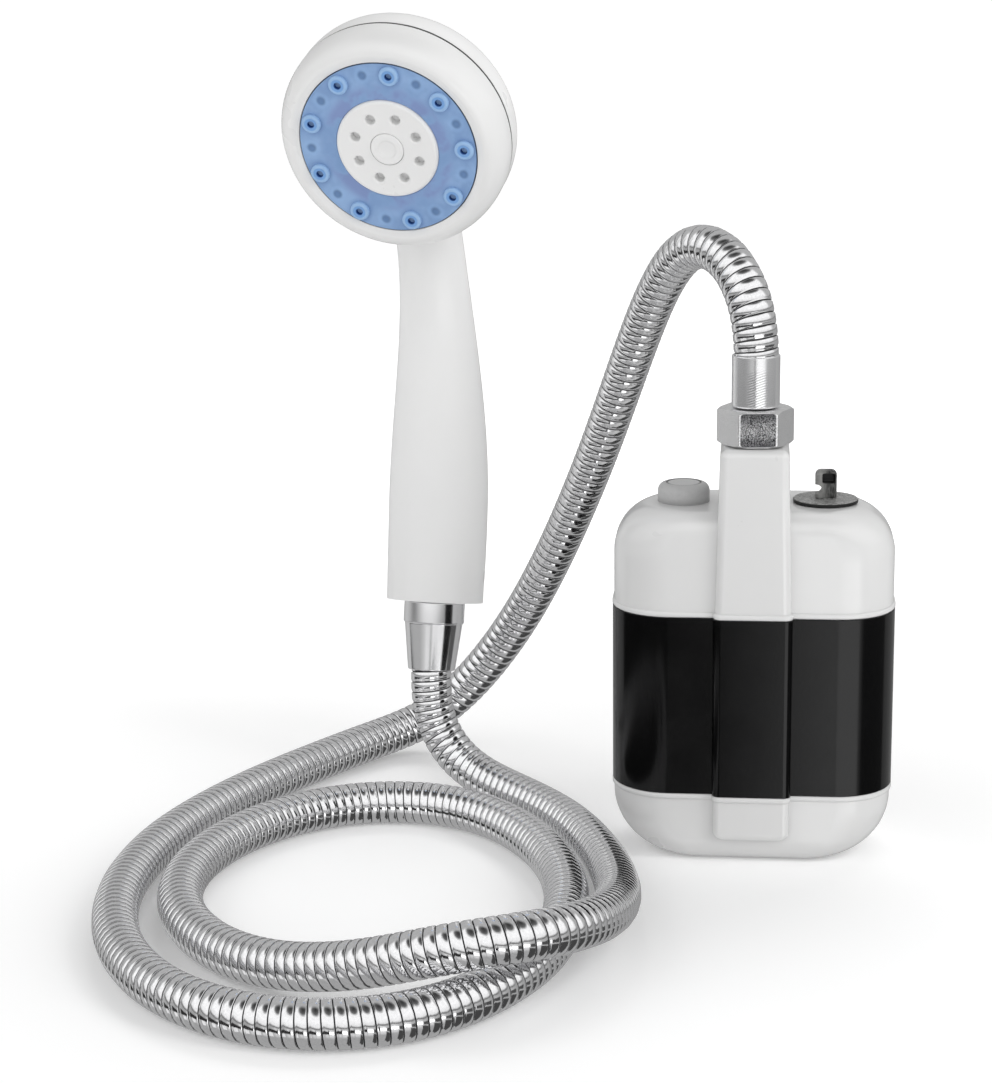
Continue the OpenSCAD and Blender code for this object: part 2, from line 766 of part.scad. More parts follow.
module control_board() {
    board_w = 2 * (board_post_x + board_post_r);
    color("darkgreen") translate([0, 0, board_z]) difference() {
        translate([-board_w / 2, board_front, 0]) cube([board_w, board_back - board_front, board_t]);
        for (x = [-1, 1]) translate([x * board_post_x, board_post_y, -1]) cylinder(d = board_post_r, h = board_t + 2);
    }
}

module board_screws() {
    shank = board_post_r - fit_gap;
    color("silver") for (x = [-1, 1]) translate([x * board_post_x, board_post_y, board_z - board_screw_h]) {
        cylinder(r = board_post_r - 0.4, h = board_screw_h);
        cylinder(d = shank, h = board_screw_h + board_t + board_bite);
    }
}

module power_switch() {
    base = 6;
    color("black") at_button() translate([0, 0, board_z + board_t]) {
        translate([-base / 2, -base / 2, 0]) cube([base, base, switch_h]);
        cylinder(d = base * 0.6, h = switch_h + plunger_h);
    }
}

module switch_boot() {
    color("#3a3a3a") at_button() translate([0, 0, stem_end + run_gap + 0.4])
        tube(well_in_d, stem_d + 2 * run_gap, boot_t);
}

module charge_socket() {
    w = 9;
    d = 3.4;
    h = 7.3;
    mouth = 0.5;
    color("silver") at_plug() translate([0, 0, board_z + board_t]) difference() {
        linear_extrude(h) rounded_rect(w, d, d / 2 - skin);
        translate([0, 0, 1.5]) linear_extrude(h) rounded_rect(w - 2 * mouth, d - 2 * mouth, d / 2 - mouth - skin);
    }
}

// Controls on the shoulder

module power_button() {
    top = top_z + button_h;
    rim = (button_d - dish_d) / 2;
    dish = 0.6;
    flange_top = ceiling_z - run_gap;
    color("#8d8d8f") at_button() rotate_extrude() polygon(concat(
        [
            [0, stem_end], [stem_d / 2, stem_end], [stem_d / 2, flange_top - button_flange_t],
            [button_flange_d / 2, flange_top - button_flange_t], [button_flange_d / 2, flange_top],
            [button_d / 2, flange_top]
        ],
        [for (turn = [0:arc_step:90]) [button_d / 2 - button_r * (1 - cos(turn)), top - button_r * (1 - sin(turn))]],
        [[button_d / 2 - rim, top], [button_d / 2 - rim - dish, top - dish], [0, top - dish]]
    ));
}

module tab_outline() {
    window = [3.4, 3.2];
    notch = 2.2;
    difference() {
        union() {
            translate([-tab_w / 2, 0]) square([tab_w, tab_h - tab_w / 2]);
            translate([-tab_w / 2 + 1, 0]) square([tab_w - 2, tab_h]);
            for (x = [-1, 1]) translate([x * (tab_w / 2 - 2), tab_h - 2]) circle(2);
        }
        translate([tab_w / 2 - window.x / 2 - 1, tab_h - window.y / 2 - 1.6]) rounded_rect(window.x, window.y, 1);
        translate([-tab_w / 2, tab_h * 0.28]) circle(notch);
    }
}

module charge_plug() {
    groove_z = -plug_l / 2;
    groove_r = plug_r - seal_depth;
    ring_r = seal_r + 0.15;
    color("#4a4b4e") at_plug() translate([0, 0, top_z + plug_seat]) {
        rotate_extrude() polygon([
            [0, -plug_l], [plug_r - 0.8, -plug_l], [plug_r, -plug_l + 0.8], [plug_r, groove_z - ring_r],
            [groove_r, groove_z - ring_r], [groove_r, groove_z + ring_r], [plug_r, groove_z + ring_r], [plug_r, 0],
            [flange_d / 2, 0], [flange_d / 2, flange_t - 0.4], [flange_d / 2 - 0.4, flange_t], [0, flange_t]
        ]);
        translate([0, tab_t / 2, flange_t - skin]) rotate([90, 0, 0]) linear_extrude(tab_t) tab_outline();
    }
}

module plug_seal() {
    color("#202020") at_plug() translate([0, 0, top_z + plug_seat - plug_l / 2])
        rotate_extrude() translate([plug_r - seal_depth + seal_r, 0]) circle(seal_r, $fn = 24);
}

// Outlet and hose ends

module outlet_nipple() {
    barb_d = water_d - fit_gap;
    way = barb_d - 2;
    color("silver") at_outlet() difference() {
        union() {
            translate([0, 0, top_z - nipple_grip]) cylinder(d = barb_d, h = nipple_grip + 1);
            translate([0, 0, top_z]) cylinder(d = nipple_shank_d, h = neck_h);
            translate([0, 0, neck_z]) cylinder(d = thread_d, h = nipple_top - neck_z);
        }
        translate([0, 0, top_z - nipple_grip - 1]) cylinder(d = way, h = nipple_top);
    }
}

module outlet_washer() {
    color("#333333") at_outlet() translate([0, 0, nipple_top]) tube(thread_d - fit_gap, hose_bore - 1, washer_t);
}

module chamfered_hex(af, h, chamfer) {
    corner = af / cos(30) / 2;
    intersection() {
        rotate(30) cylinder(r = corner, h = h, $fn = 6);
        rotate_extrude() polygon([
            [0, 0], [corner - chamfer, 0], [corner, chamfer * 0.6],
            [corner, h - chamfer * 0.6], [corner - chamfer, h], [0, h]
        ]);
    }
}

module hose_nut() {
    color("silver") at_outlet() difference() {
        translate([0, 0, nut_z]) rotate(30 + nut_turn) chamfered_hex(nut_af, nut_h, 1.4);
        translate([0, 0, nut_z - 1]) cylinder(d = thread_d + 2 * run_gap, h = web_z - nut_z + 1);
        translate([0, 0, nut_z]) cylinder(d = insert_neck_d + 2 * run_gap, h = nut_h + 1);
    }
}

module hose_ferrule() {
    way = hose_bore - 2;
    flange_z = nipple_top + washer_t;
    roll = 0.5;
    color("silver") at_outlet() rotate_extrude() polygon([
        [way / 2, flange_z], [thread_d / 2 - fit_gap, flange_z], [thread_d / 2 - fit_gap, flange_z + insert_t],
        [insert_neck_d / 2, flange_z + insert_t], [insert_neck_d / 2, ferrule_z],
        [ferrule_d / 2 - roll, ferrule_z], [ferrule_d / 2, ferrule_z + roll], [ferrule_d / 2, ferrule_top],
        [hose_d / 2 + fit_gap, ferrule_top], [hose_d / 2 + fit_gap, hose_z], [way / 2, hose_z]
    ]);
}

// Hose: a smooth curve through the route, walked at even steps

function unit(v) = v / norm(v);
function cube_of(t) = t * t * t;

function knot(i) =
    i < 0 ? 2 * route[0] - route[1] :
    i >= len(route) ? 2 * route[len(route) - 1] - route[len(route) - 2] : route[i];

function on_curve(i, t) = (
    cube_of(1 - t) * knot(i - 1) + (3 * cube_of(t) - 6 * t * t + 4) * knot(i)
    + (-3 * cube_of(t) + 3 * t * t + 3 * t + 1) * knot(i + 1) + cube_of(t) * knot(i + 2)) / 6;

curve = concat(
    [for (i = [0:len(route) - 2], k = [0:route_steps - 1]) on_curve(i, k / route_steps)],
    [route[len(route) - 1]]
);
run = [
    for (i = 0, s = 0; i < len(curve); s = s + norm(curve[min(i + 1, len(curve) - 1)] - curve[i]), i = i + 1) s
];
hose_length = run[len(run) - 1];
run_x = [for (i = [0:len(run) - 1]) [run[i], curve[i].x]];
run_y = [for (i = [0:len(run) - 1]) [run[i], curve[i].y]];
run_z = [for (i = [0:len(run) - 1]) [run[i], curve[i].z]];

function hose_at(s) = [lookup(s, run_x), lookup(s, run_y), lookup(s, run_z)];

ring_step = hose_length / ribs / 2;
hose_mid = [for (j = [0:2 * ribs]) hose_at(j * ring_step)];
hose_dir = [for (j = [0:2 * ribs]) unit(hose_at(j * ring_step + 1) - hose_at(j * ring_step - 1))];

function square_to(n, dir) = unit(n - (n * dir) * dir);

hose_side = [
    for (j = 0, n = square_to([1, 0, 0], hose_dir[0]); j <= 2 * ribs;
         n = square_to(n, hose_dir[min(j + 1, 2 * ribs)]), j = j + 1) n
];

function hose_ring(j, r) = [
    for (k = [0:hose_sides - 1])
        let (turn = 360 * k / hose_sides)
            hose_mid[j] + r * (cos(turn) * hose_side[j] + sin(turn) * cross(hose_dir[j], hose_side[j]))
];

// One stretch of the hose from one rib to another: ribbed outside, smooth bore
module hose_stretch(first, last) {
    n = hose_sides;
    crest = hose_d / 2;
    outer = 2 * (last - first);
    bore = (outer + 1) * n;
    inner = last - first;
    points = concat(
        [for (j = [2 * first:2 * last]) each hose_ring(j, j % 2 == 0 ? crest - rib_depth : crest)],
        [for (j = [2 * first:2:2 * last]) each hose_ring(j, hose_bore / 2)]
    );
    outside = [
        for (a = [0:outer - 1], k = [0:n - 1])
            let (p = a * n + k, q = a * n + (k + 1) % n)
                each [[p, p + n, q + n], [p, q + n, q]]
    ];
    inside = [
        for (a = [0:inner - 1], k = [0:n - 1])
            let (p = bore + a * n + k, q = bore + a * n + (k + 1) % n)
                each [[p, q + n, p + n], [p, q, q + n]]
    ];
    ends = [
        for (k = [0:n - 1])
            let (m = (k + 1) % n, far = outer * n, far_bore = bore + inner * n)
                each [[k, m, bore + m], [k, bore + m, bore + k],
                      [far + k, far_bore + m, far + m], [far + k, far_bore + k, far_bore + m]]
    ];
    polyhedron(points = points, faces = concat(outside, inside, ends));
}

least_gap = min([
    for (i = [0:2 * ribs - 1], j = [i + 1:2 * ribs])
        if ((j - i) * ring_step > 4 * hose_d) norm(hose_mid[i] - hose_mid[j])
]) - hose_d;
echo(hose_length = hose_length, least_gap_of_the_hose_to_itself = least_gap);

module hose_riser() { color("#c8c8c8") hose_stretch(0, riser_ribs); }
module hose_coil() { color("#c8c8c8") hose_stretch(riser_ribs, ribs - lead_ribs); }
module hose_lead() { color("#c8c8c8") hose_stretch(ribs - lead_ribs, ribs); }

// Hand shower

module in_hand() { translate([hand_x, hand_y, hand_z]) rotate(-hand_turn) children(); }
module at_tail() { in_hand() rotate([-tail_tilt, 0, 0]) children(); }
module at_head() { in_hand() translate(head_mid) rotate([90 + head_tilt, 0, 0]) children(); }

module tail_insert() {
    way = hose_bore - 3;
    barb_d = hose_bore - 1.2;
    barb_l = 10;
    top = -spigot_l - tail_washer_t;
    color("silver") at_tail() rotate_extrude() polygon([
        [way / 2, top], [thread_d / 2 - fit_gap, top], [thread_d / 2 - fit_gap, top - tail_flange_t],
        [hose_d / 2, top - tail_flange_t], [hose_d / 2, -tail_seat], [barb_d / 2, -tail_seat],
        [barb_d / 2, -tail_seat - barb_l], [way / 2, -tail_seat - barb_l]
    ]);
}

module tail_washer() {
    color("#333333") at_tail() translate([0, 0, -spigot_l - tail_washer_t])
        tube(thread_d - fit_gap, hose_bore - 1, tail_washer_t);
}

module cone_nut() {
    band_l = 7.6;
    step = 0.5;
    thread_r = thread_d / 2 + run_gap;
    web = -tail_seat + 0.4;
    color("silver") at_tail() rotate_extrude() polygon([
        [thread_r, -run_gap], [cone_d / 2 - step, -run_gap], [cone_d / 2, -run_gap - step],
        [cone_d / 2, -band_l], [cone_d / 2 - step, -band_l - step], [cone_small / 2, -cone_l + step],
        [cone_small / 2 - step, -cone_l], [hose_d / 2 + run_gap, -cone_l], [hose_d / 2 + run_gap, web], [thread_r, web]
    ]);
}

function spine_at(t) = pow(1 - t, 3) * spine[0] + 3 * t * pow(1 - t, 2) * spine[1]
    + 3 * t * t * (1 - t) * spine[2] + pow(t, 3) * spine[3];
function spine_dir(t) = unit(pow(1 - t, 2) * (spine[1] - spine[0])
    + 2 * t * (1 - t) * (spine[2] - spine[1]) + t * t * (spine[3] - spine[2]));

// From the belly the grip slims to the neck, and it draws in a little at the flat end
function grip_share(z) = (1 + cos(180 * min(1, (z - belly_z) / (slim_z - belly_z)))) / 2;
function grip_size(z, belly, slim) =
    z < belly_z ? belly * (1 - (1 - butt_share) * pow(1 - z / belly_z, 2)) : slim + (belly - slim) * grip_share(z);

function handle_ring(t, inset) =
    let (mid = spine_at(t), dir = spine_dir(t), back = [0, dir.z, -dir.y],
         half_w = grip_size(mid.z, grip_w, slim_w) / 2 - inset,
         half_d = grip_size(mid.z, grip_d, slim_d) / 2 - inset)
        [
            for (k = [0:handle_sides - 1])
                let (turn = 360 * k / handle_sides) mid + half_w * cos(turn) * [1, 0, 0] + half_d * sin(turn) * back
        ];

module handle_form(inset, first) {
    loft([for (i = [first:handle_rings]) handle_ring(i / handle_rings, inset)]);
}

module rear_form(r, depth, start) {
    rotate_extrude() polygon(concat(
        [[0, start], [r, start]],
        [for (turn = [0:arc_step / 2:90]) [r * cos(turn), -rim_l - depth * sin(turn)]]
    ));
}

module handset_body() {
    shell_r = head_r_out - fit_gap;
    first_inner = 1;
    color("white") difference() {
        union() {
            difference() {
                union() {
                    in_hand() handle_form(0, 0);
                    at_head() rear_form(shell_r, dome_l, 0);
                }
                in_hand() handle_form(handle_wall, first_inner);
                at_head() rear_form(rim_in_r, dome_l - head_wall, rim_l);
            }
            at_tail() translate([0, 0, -spigot_l]) cylinder(d = thread_d, h = spigot_l + skin);
            at_head() translate([0, 0, -rim_l - dome_l + head_wall / 2])
                cylinder(r = head_post_r, h = post_top + rim_l + dome_l - head_wall / 2);
        }
        at_tail() translate([0, 0, -spigot_l - 1]) cylinder(d = hose_bore, h = spigot_l + way_l);
        at_head() translate([0, 0, -rim_l - dome_l / 2]) cylinder(d = pivot_d + fit_gap, h = dome_l + 2 * bezel_h);
    }
}

module head_bezel() {
    spigot_r = rim_in_r - 2 * run_gap;
    spigot_t = 1.8;
    straight = 2.5;
    taper = head_r_out - bezel_front / 2;
    wall_z = bezel_h - straight;
    ledge_r = tip_ring / 2 + tip_shank_d / 2 + fit_gap;
    edge = 0.6;
    color("white") at_head() rotate_extrude() polygon(concat(
        [[spigot_r - spigot_t, -spigot_in], [spigot_r, -spigot_in], [spigot_r, seam], [head_r_out, seam]],
        [
            for (turn = [0:arc_step:90])
                [bezel_front / 2 + taper * cos(turn), straight + wall_z * sin(turn)]
        ],
        [
            [bezel_in_r + edge, bezel_h], [bezel_in_r, bezel_h - edge], [bezel_in_r, ledge_z],
            [ledge_r, ledge_z], [ledge_r, post_top], [ledge_r + 3, post_top], [spigot_r - spigot_t, straight]
        ]
    ));
}

module around(count, r, offset = 0) {
    for (i = [0:count - 1]) rotate(360 * (i + offset) / count) translate([r, 0, 0]) children();
}

module nozzle_plate() {
    dimple_d = 3.3;
    dimple = 0.8;
    start = ledge_z;
    color("#6f9fd8") at_head() difference() {
        translate([0, 0, start]) tube(plate_d, disc_d + 2 * fit_gap, face_z - start);
        around(tips, tip_ring / 2) cylinder(d = tip_shank_d + 2 * fit_gap, h = bezel_h);
        around(tips, tip_ring / 2, 0.5) translate([0, 0, face_z - dimple]) cylinder(d = dimple_d, h = bezel_h);
    }
}

module nozzle_tips() {
    collar = 1.5;
    tail = 0.8;
    color("#5b90d0") at_head() around(tips, tip_ring / 2) difference() {
        union() {
            translate([0, 0, face_z + 0.05]) rotate_extrude() polygon([
                [0, 0], [tip_d / 2, 0], [tip_d / 2, collar * 0.5], [tip_d / 2 - collar * 0.5, collar], [0, collar]
            ]);
            translate([0, 0, ledge_z - tail]) cylinder(d = tip_shank_d, h = face_z + 0.1 - ledge_z + tail);
        }
        translate([0, 0, ledge_z - tail - 1]) cylinder(d = spray_d, h = bezel_h);
    }
}

module centre_disc() {
    rim = 2;
    rim_h = 0.9;
    back_r = disc_d / 2 + 2;
    back_t = 1.4;
    cup_d = cap_d + fit_gap;
    cup_z = face_z - 2;
    color("white") at_head() difference() {
        rotate_extrude() polygon([
            [0, ledge_z - back_t], [back_r, ledge_z - back_t], [back_r, ledge_z], [disc_d / 2, ledge_z],
            [disc_d / 2, face_z + rim_h - 0.4], [disc_d / 2 - 0.4, face_z + rim_h],
            [disc_d / 2 - rim, face_z + rim_h], [disc_d / 2 - rim - 0.6, face_z], [0, face_z]
        ]);
        around(disc_holes, disc_ring / 2, 0.5) cylinder(d = disc_hole_d, h = 2 * bezel_h);
        translate([0, 0, cup_z]) cylinder(d = cup_d, h = bezel_h);
        translate([0, 0, cup_z - 2]) cylinder(d = pivot_d * 2 + 0.4, h = bezel_h);
        cylinder(d = pivot_d + 0.4, h = bezel_h);
    }
}

module centre_cap() {
    ring_d = 5.6;
    dome = 0.7;
    color("white") at_head() translate([0, 0, face_z - 1.9]) rotate_extrude() polygon([
        [0, 0], [cap_d / 2, 0], [cap_d / 2, 1.9 + dome * 0.5], [cap_d / 2 - 0.5, 1.9 + dome],
        [ring_d / 2 + 0.4, 1.9 + dome], [ring_d / 2, 1.9 + dome * 0.4], [ring_d / 2 - 0.4, 1.9 + dome], [0, 1.9 + dome]
    ]);
}

module face_screw() {
    head_h = 1.6;
    top = face_z - 2.2;
    color("silver") at_head() {
        translate([0, 0, top - head_h]) cylinder(d = pivot_d * 2, h = head_h);
        translate([0, 0, -rim_l]) cylinder(d = pivot_d, h = top + rim_l - skin);
    }
}

module head_seal() {
    color("#2b2b2b") at_head() translate([0, 0, -rim_l + flow_t])
        tube(2 * rim_in_r, 2 * rim_in_r - 4, rim_l - flow_t - spigot_in - run_gap);
}

module flow_plate() {
    holes = 6;
    color("lightgray") at_head() translate([0, 0, -rim_l]) difference() {
        tube(2 * rim_in_r, 2 * head_post_r, flow_t);
        around(holes, rim_in_r / 2) translate([0, 0, -1]) cylinder(d = 5, h = flow_t + 2);
    }
}

bottom_cap();
middle_band();
top_cap();
base_gasket();
top_gasket();
base_screws();
top_screws();
motor_plate();
motor();
motor_shaft();
impeller();
shaft_seal();
volute();
volute_cover();
intake_grille();
filter_screen();
riser_tube();
battery_cells();
cell_bracket();
control_board();
board_screws();
power_switch();
switch_boot();
charge_socket();
power_button();
charge_plug();
plug_seal();
outlet_nipple();
outlet_washer();
hose_nut();
hose_ferrule();
hose_riser();
hose_coil();
hose_lead();
tail_insert();
tail_washer();
cone_nut();
handset_body();
head_bezel();
nozzle_plate();
nozzle_tips();
centre_disc();
centre_cap();
face_screw();
head_seal();
flow_plate();
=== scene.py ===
import math

import bpy
from mathutils import Matrix, Vector


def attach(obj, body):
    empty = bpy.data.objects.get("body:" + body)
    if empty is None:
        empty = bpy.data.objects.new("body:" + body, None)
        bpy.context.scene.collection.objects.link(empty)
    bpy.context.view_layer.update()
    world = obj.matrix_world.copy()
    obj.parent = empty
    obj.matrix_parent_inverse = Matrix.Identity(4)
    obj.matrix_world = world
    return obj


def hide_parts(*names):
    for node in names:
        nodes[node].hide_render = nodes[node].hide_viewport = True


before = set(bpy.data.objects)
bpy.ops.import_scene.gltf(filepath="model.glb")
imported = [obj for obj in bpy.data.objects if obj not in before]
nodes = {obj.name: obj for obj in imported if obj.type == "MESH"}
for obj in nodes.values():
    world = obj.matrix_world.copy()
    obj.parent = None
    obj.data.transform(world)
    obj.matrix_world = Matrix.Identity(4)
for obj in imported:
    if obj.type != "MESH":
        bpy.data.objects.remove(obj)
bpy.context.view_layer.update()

mm = 0.001
print("frame loaded:", len(nodes), "nodes")


# shader maths written as sums
class Term:
    def __init__(self, finish, socket):
        self.finish = finish
        self.socket = socket

    def maths(self, operation, *terms):
        return self.finish.add("ShaderNodeMath", {"operation": operation}, dict(enumerate(terms)))

    def __add__(self, other):
        return self.maths("ADD", self, other)

    def __radd__(self, other):
        return self.maths("ADD", other, self)

    def __sub__(self, other):
        return self.maths("SUBTRACT", self, other)

    def __rsub__(self, other):
        return self.maths("SUBTRACT", other, self)

    def __mul__(self, other):
        return self.maths("MULTIPLY", self, other)

    def __rmul__(self, other):
        return self.maths("MULTIPLY", other, self)

    def __truediv__(self, other):
        return self.maths("DIVIDE", self, other)

    def __rtruediv__(self, other):
        return self.maths("DIVIDE", other, self)

    def __pow__(self, other):
        return self.maths("POWER", self, other)

    def __abs__(self):
        return self.maths("ABSOLUTE", self)

    def greater(self, other):
        return self.maths("MAXIMUM", self, other)

    # rises from 0 at one value to 1 at another
    def rise(self, low, high):
        sockets = {0: self, 1: low, 2: high, 3: 0.0, 4: 1.0}
        settings = {"interpolation_type": "SMOOTHSTEP", "clamp": True}
        return self.finish.add("ShaderNodeMapRange", settings, sockets)

    # falls from 1 at one value to 0 at another
    def fall(self, low, high):
        return 1 - self.rise(low, high)


# one material, or the sky, with the nodes that feed it
class Finish:
    def __init__(self, name, plain=None, tree=None):
        if tree is None:
            self.material = bpy.data.materials.new(name)
            self.material.use_nodes = True
            tree = self.material.node_tree
        self.tree = tree
        self.shader = tree.nodes.get("Principled BSDF")
        for label, value in (plain or {}).items():
            self.shader.inputs[label].default_value = value

    def add(self, kind, settings=None, sockets=None, output=0):
        node = self.tree.nodes.new(kind)
        for label, value in (settings or {}).items():
            setattr(node, label, value)
        for label, value in (sockets or {}).items():
            self.join(value, node.inputs[label])
        return Term(self, node.outputs[output])

    def join(self, value, socket):
        if isinstance(value, Term):
            self.tree.links.new(value.socket, socket)
        else:
            socket.default_value = value

    def feed(self, label, value):
        self.join(value, self.shader.inputs[label])

    # where a point lies on the object, in metres
    def place(self):
        return self.add("ShaderNodeTexCoord", output=3)

    def uv(self):
        return self.add("ShaderNodeTexCoord", output=2)

    # where a point lies in a piece's own frame, in millimetres
    def placeIn(self, matrix):
        sockets = {
            "Vector": self.place(),
            "Location": matrix.translation * mm,
            "Rotation": matrix.to_euler(),
            "Scale": (mm, mm, mm),
        }
        return self.add("ShaderNodeMapping", {"vector_type": "TEXTURE"}, sockets)

    def parts(self, vector):
        return [self.add("ShaderNodeSeparateXYZ", {}, {0: vector}, k) for k in range(3)]

    def noise(self, scale, detail=3.0, rough=0.55, at=None):
        vector = self.place() if at is None else at
        sockets = {"Vector": vector, "Scale": scale, "Detail": detail, "Roughness": rough}
        return self.add("ShaderNodeTexNoise", {}, sockets)

    def mix(self, share, first, second):
        first = (*first, 1) if isinstance(first, tuple) else first
        second = (*second, 1) if isinstance(second, tuple) else second
        return self.add("ShaderNodeMix", {"data_type": "RGBA"}, {0: share, 6: first, 7: second}, 2)

    # grey tones between two values, as pairs of place and tone
    def ramp(self, value, stops, low, high):
        tones = self.add("ShaderNodeValToRGB", {}, {0: (value - low) / (high - low)})
        elements = tones.socket.node.color_ramp.elements
        while len(elements) < len(stops):
            elements.new(0.5)
        for element, (place, tone) in zip(elements, stops):
            element.position = (place - low) / (high - low)
            element.color = (*grey(tone), 1)
        return tones

    def bump(self, height, depth, strength):
        sockets = {"Height": height, "Distance": depth, "Strength": strength}
        self.feed("Normal", self.add("ShaderNodeBump", {}, sockets))


def grey(tone):
    return (tone, tone, tone)


def farFrom(x, y):
    return (x * x + y * y) ** 0.5


def turned(degrees, axis):
    return Matrix.Rotation(math.radians(degrees), 4, axis)


# the camera stands where the photograph was taken from
view = {"eye": (0, -777, 284), "pitch": 13.24, "yaw": 6.1, "roll": -0.7, "lens": 82.44}
bpy.ops.object.select_all(action="DESELECT")
bpy.ops.object.camera_add(location=Vector(view["eye"]) * mm)
camera = bpy.context.object
aim = turned(view["yaw"], "Z") @ turned(90 - view["pitch"], "X") @ turned(view["roll"], "Z")
camera.rotation_euler = aim.to_euler()
camera.data.lens = view["lens"]
bpy.context.scene.camera = camera
print("camera placed")


# white room: bright walls, a dark ceiling, and bright and dark boards near the floor that the metal shows
studio = {
    # from straight down to straight up, and how bright
    "sky": [
        (-1.0, 0.5), (-0.2, 0.5), (-0.02, 0.42), (0.03, 0.2), (0.08, 0.4), (0.16, 1.15),
        (0.5, 1.4), (0.8, 1.35), (0.86, 0.75), (0.91, 0.2), (1.0, 0.06),
    ],
    # the wall behind the set: how bright, and where it fades in to the back and upwards
    "backWall": 0.6, "backFrom": (0.05, 0.4), "backUp": (0.0, 0.1),
    # once round near the floor in degrees, 0 towards the camera and + to its right
    "round": [
        (-180, 0.4), (-120, 0.66), (-90, 0.52), (-50, 0.5), (-32, 0.7), (-20, 0.95),
        (-8, 0.9), (-5, 0.75), (1, 0.75), (3, 1.0), (30, 0.98), (40, 0.86),
        (52, 0.68), (74, 0.6), (100, 0.52), (140, 0.44), (180, 0.42),
    ],
    "roundLow": (-0.75, -0.5), "roundHigh": (-0.06, 0.0),
    # boards: from and to in degrees round, from and to in height, and how bright
    "boards": [
        {"turn": (-7, 1.2), "up": (-0.22, -0.12), "tone": 0.2},
        {"turn": (-105, 1.2), "up": (-0.4, -0.21), "tone": 0.04},
        {"turn": (1.2, 46), "up": (-0.4, -0.21), "tone": 2.4},
        {"turn": (52, 110), "up": (-0.4, -0.21), "tone": 0.1},
        {"turn": (-85, -45), "up": (-0.62, -0.42), "tone": 1.1},
        {"turn": (45, 120), "up": (-0.95, -0.5), "tone": 0.08},
    ],
    # soft edges of a board, in degrees and in height
    "boardSide": 0.3, "boardRise": 0.02,
    "strength": 0.8,
    # lamps in metres and watts, aimed at the middle of the set
    "middle": (-0.06, 0.0, 0.1),
    "lamps": [
        {"at": (-0.85, -0.75, 0.95), "size": (0.7, 0.5), "power": 0.5},
        {"at": (0.95, -0.55, 0.8), "size": (0.4, 0.9), "power": 4.4},
        {"at": (0.1, 0.7, 1.1), "size": (1.0, 0.4), "power": 4.0},
    ],
}
# floor in metres: it glows a little, and less near the set
floor = {"size": 40, "glow": 0.45, "nearTone": 0.33, "near": (0.2, 0.55)}


def lightStudio():
    bpy.context.scene.view_settings.view_transform = "Standard"
    world = bpy.data.worlds.new("studio")
    world.use_nodes = True
    bpy.context.scene.world = world
    sky = Finish("sky", tree=world.node_tree)
    right, back, up = sky.parts(sky.add("ShaderNodeTexCoord"))
    turn = right.maths("ARCTAN2", right, 0 - back) * (180 / math.pi)
    above = sky.ramp(up, studio["sky"], -1, 1)
    around = sky.ramp(turn, studio["round"], -180, 180)
    behind = back.rise(*studio["backFrom"]) * up.rise(*studio["backUp"])
    above = sky.mix(behind, above, grey(studio["backWall"]))
    near = up.rise(*studio["roundLow"]) * up.fall(*studio["roundHigh"])
    tone = sky.mix(near, above, around)
    soft, step = studio["boardSide"], studio["boardRise"]
    for board in studio["boards"]:
        first, last = board["turn"]
        low, high = board["up"]
        inside = turn.rise(first - soft, first + soft) * turn.fall(last - soft, last + soft)
        inside = inside * up.rise(low - step, low) * up.fall(high, high + step)
        tone = sky.mix(inside, tone, grey(board["tone"]))
    background = world.node_tree.nodes["Background"]
    sky.join(tone, background.inputs["Color"])
    background.inputs["Strength"].default_value = studio["strength"]
    for lamp in studio["lamps"]:
        bpy.ops.object.light_add(type="AREA", location=lamp["at"])
        light = bpy.context.object
        light.data.shape = "RECTANGLE"
        light.data.size, light.data.size_y = lamp["size"]
        light.data.energy = lamp["power"]
        towards = Vector(studio["middle"]) - Vector(lamp["at"])
        light.rotation_euler = towards.to_track_quat("-Z", "Y").to_euler()
        light.visible_glossy = False


def layFloor():
    bpy.ops.object.select_all(action="DESELECT")
    bpy.ops.mesh.primitive_plane_add(size=floor["size"])
    piece = bpy.context.object
    piece.name = "floor"
    plain = {"Roughness": 0.7, "Specular IOR Level": 0.1, "Emission Strength": floor["glow"]}
    pale = Finish("floorWhite", plain)
    x, y = pale.parts(pale.place())[:2]
    away = farFrom(x, y).rise(*floor["near"])
    pale.feed("Base Color", pale.mix(pale.noise(3), grey(0.93), grey(0.95)))
    pale.feed("Emission Color", pale.mix(away, grey(floor["nearTone"]), grey(1.0)))
    piece.data.materials.append(pale.material)
    piece.visible_glossy = False


lightStudio()
layFloor()
print("studio lit")


# modelling helpers: pieces are drawn in millimetres and put in their place at the end
stay = Matrix.Identity(4)
sideCount = {"wide": 128, "middle": 96, "bore": 72, "intake": 64, "small": 32}
# a turned piece without a bore closes at this radius
core = 0.3


def activate(piece):
    bpy.ops.object.select_all(action="DESELECT")
    piece.select_set(True)
    bpy.context.view_layer.objects.active = piece


def startPiece(name):
    bpy.ops.object.select_all(action="DESELECT")
    bpy.ops.mesh.primitive_plane_add(enter_editmode=True)
    bpy.ops.mesh.delete(type="VERT")
    piece = bpy.context.object
    piece.name = name
    piece.data.name = name
    return piece


# one edit of the whole mesh
def onAll(operation, **settings):
    bpy.ops.mesh.select_all(action="SELECT")
    operation(**settings)


def closePiece():
    onAll(bpy.ops.mesh.remove_doubles, threshold=0.001)
    onAll(bpy.ops.mesh.fill_holes, sides=0)
    onAll(bpy.ops.mesh.normals_make_consistent, inside=False)
    bpy.ops.object.mode_set(mode="OBJECT")


# makes the active piece's place and turn a part of its shape
def bakePlace():
    bpy.ops.object.transform_apply(location=True, rotation=True, scale=True)


def movePiece(piece, matrix):
    activate(piece)
    piece.matrix_world = matrix
    bakePlace()


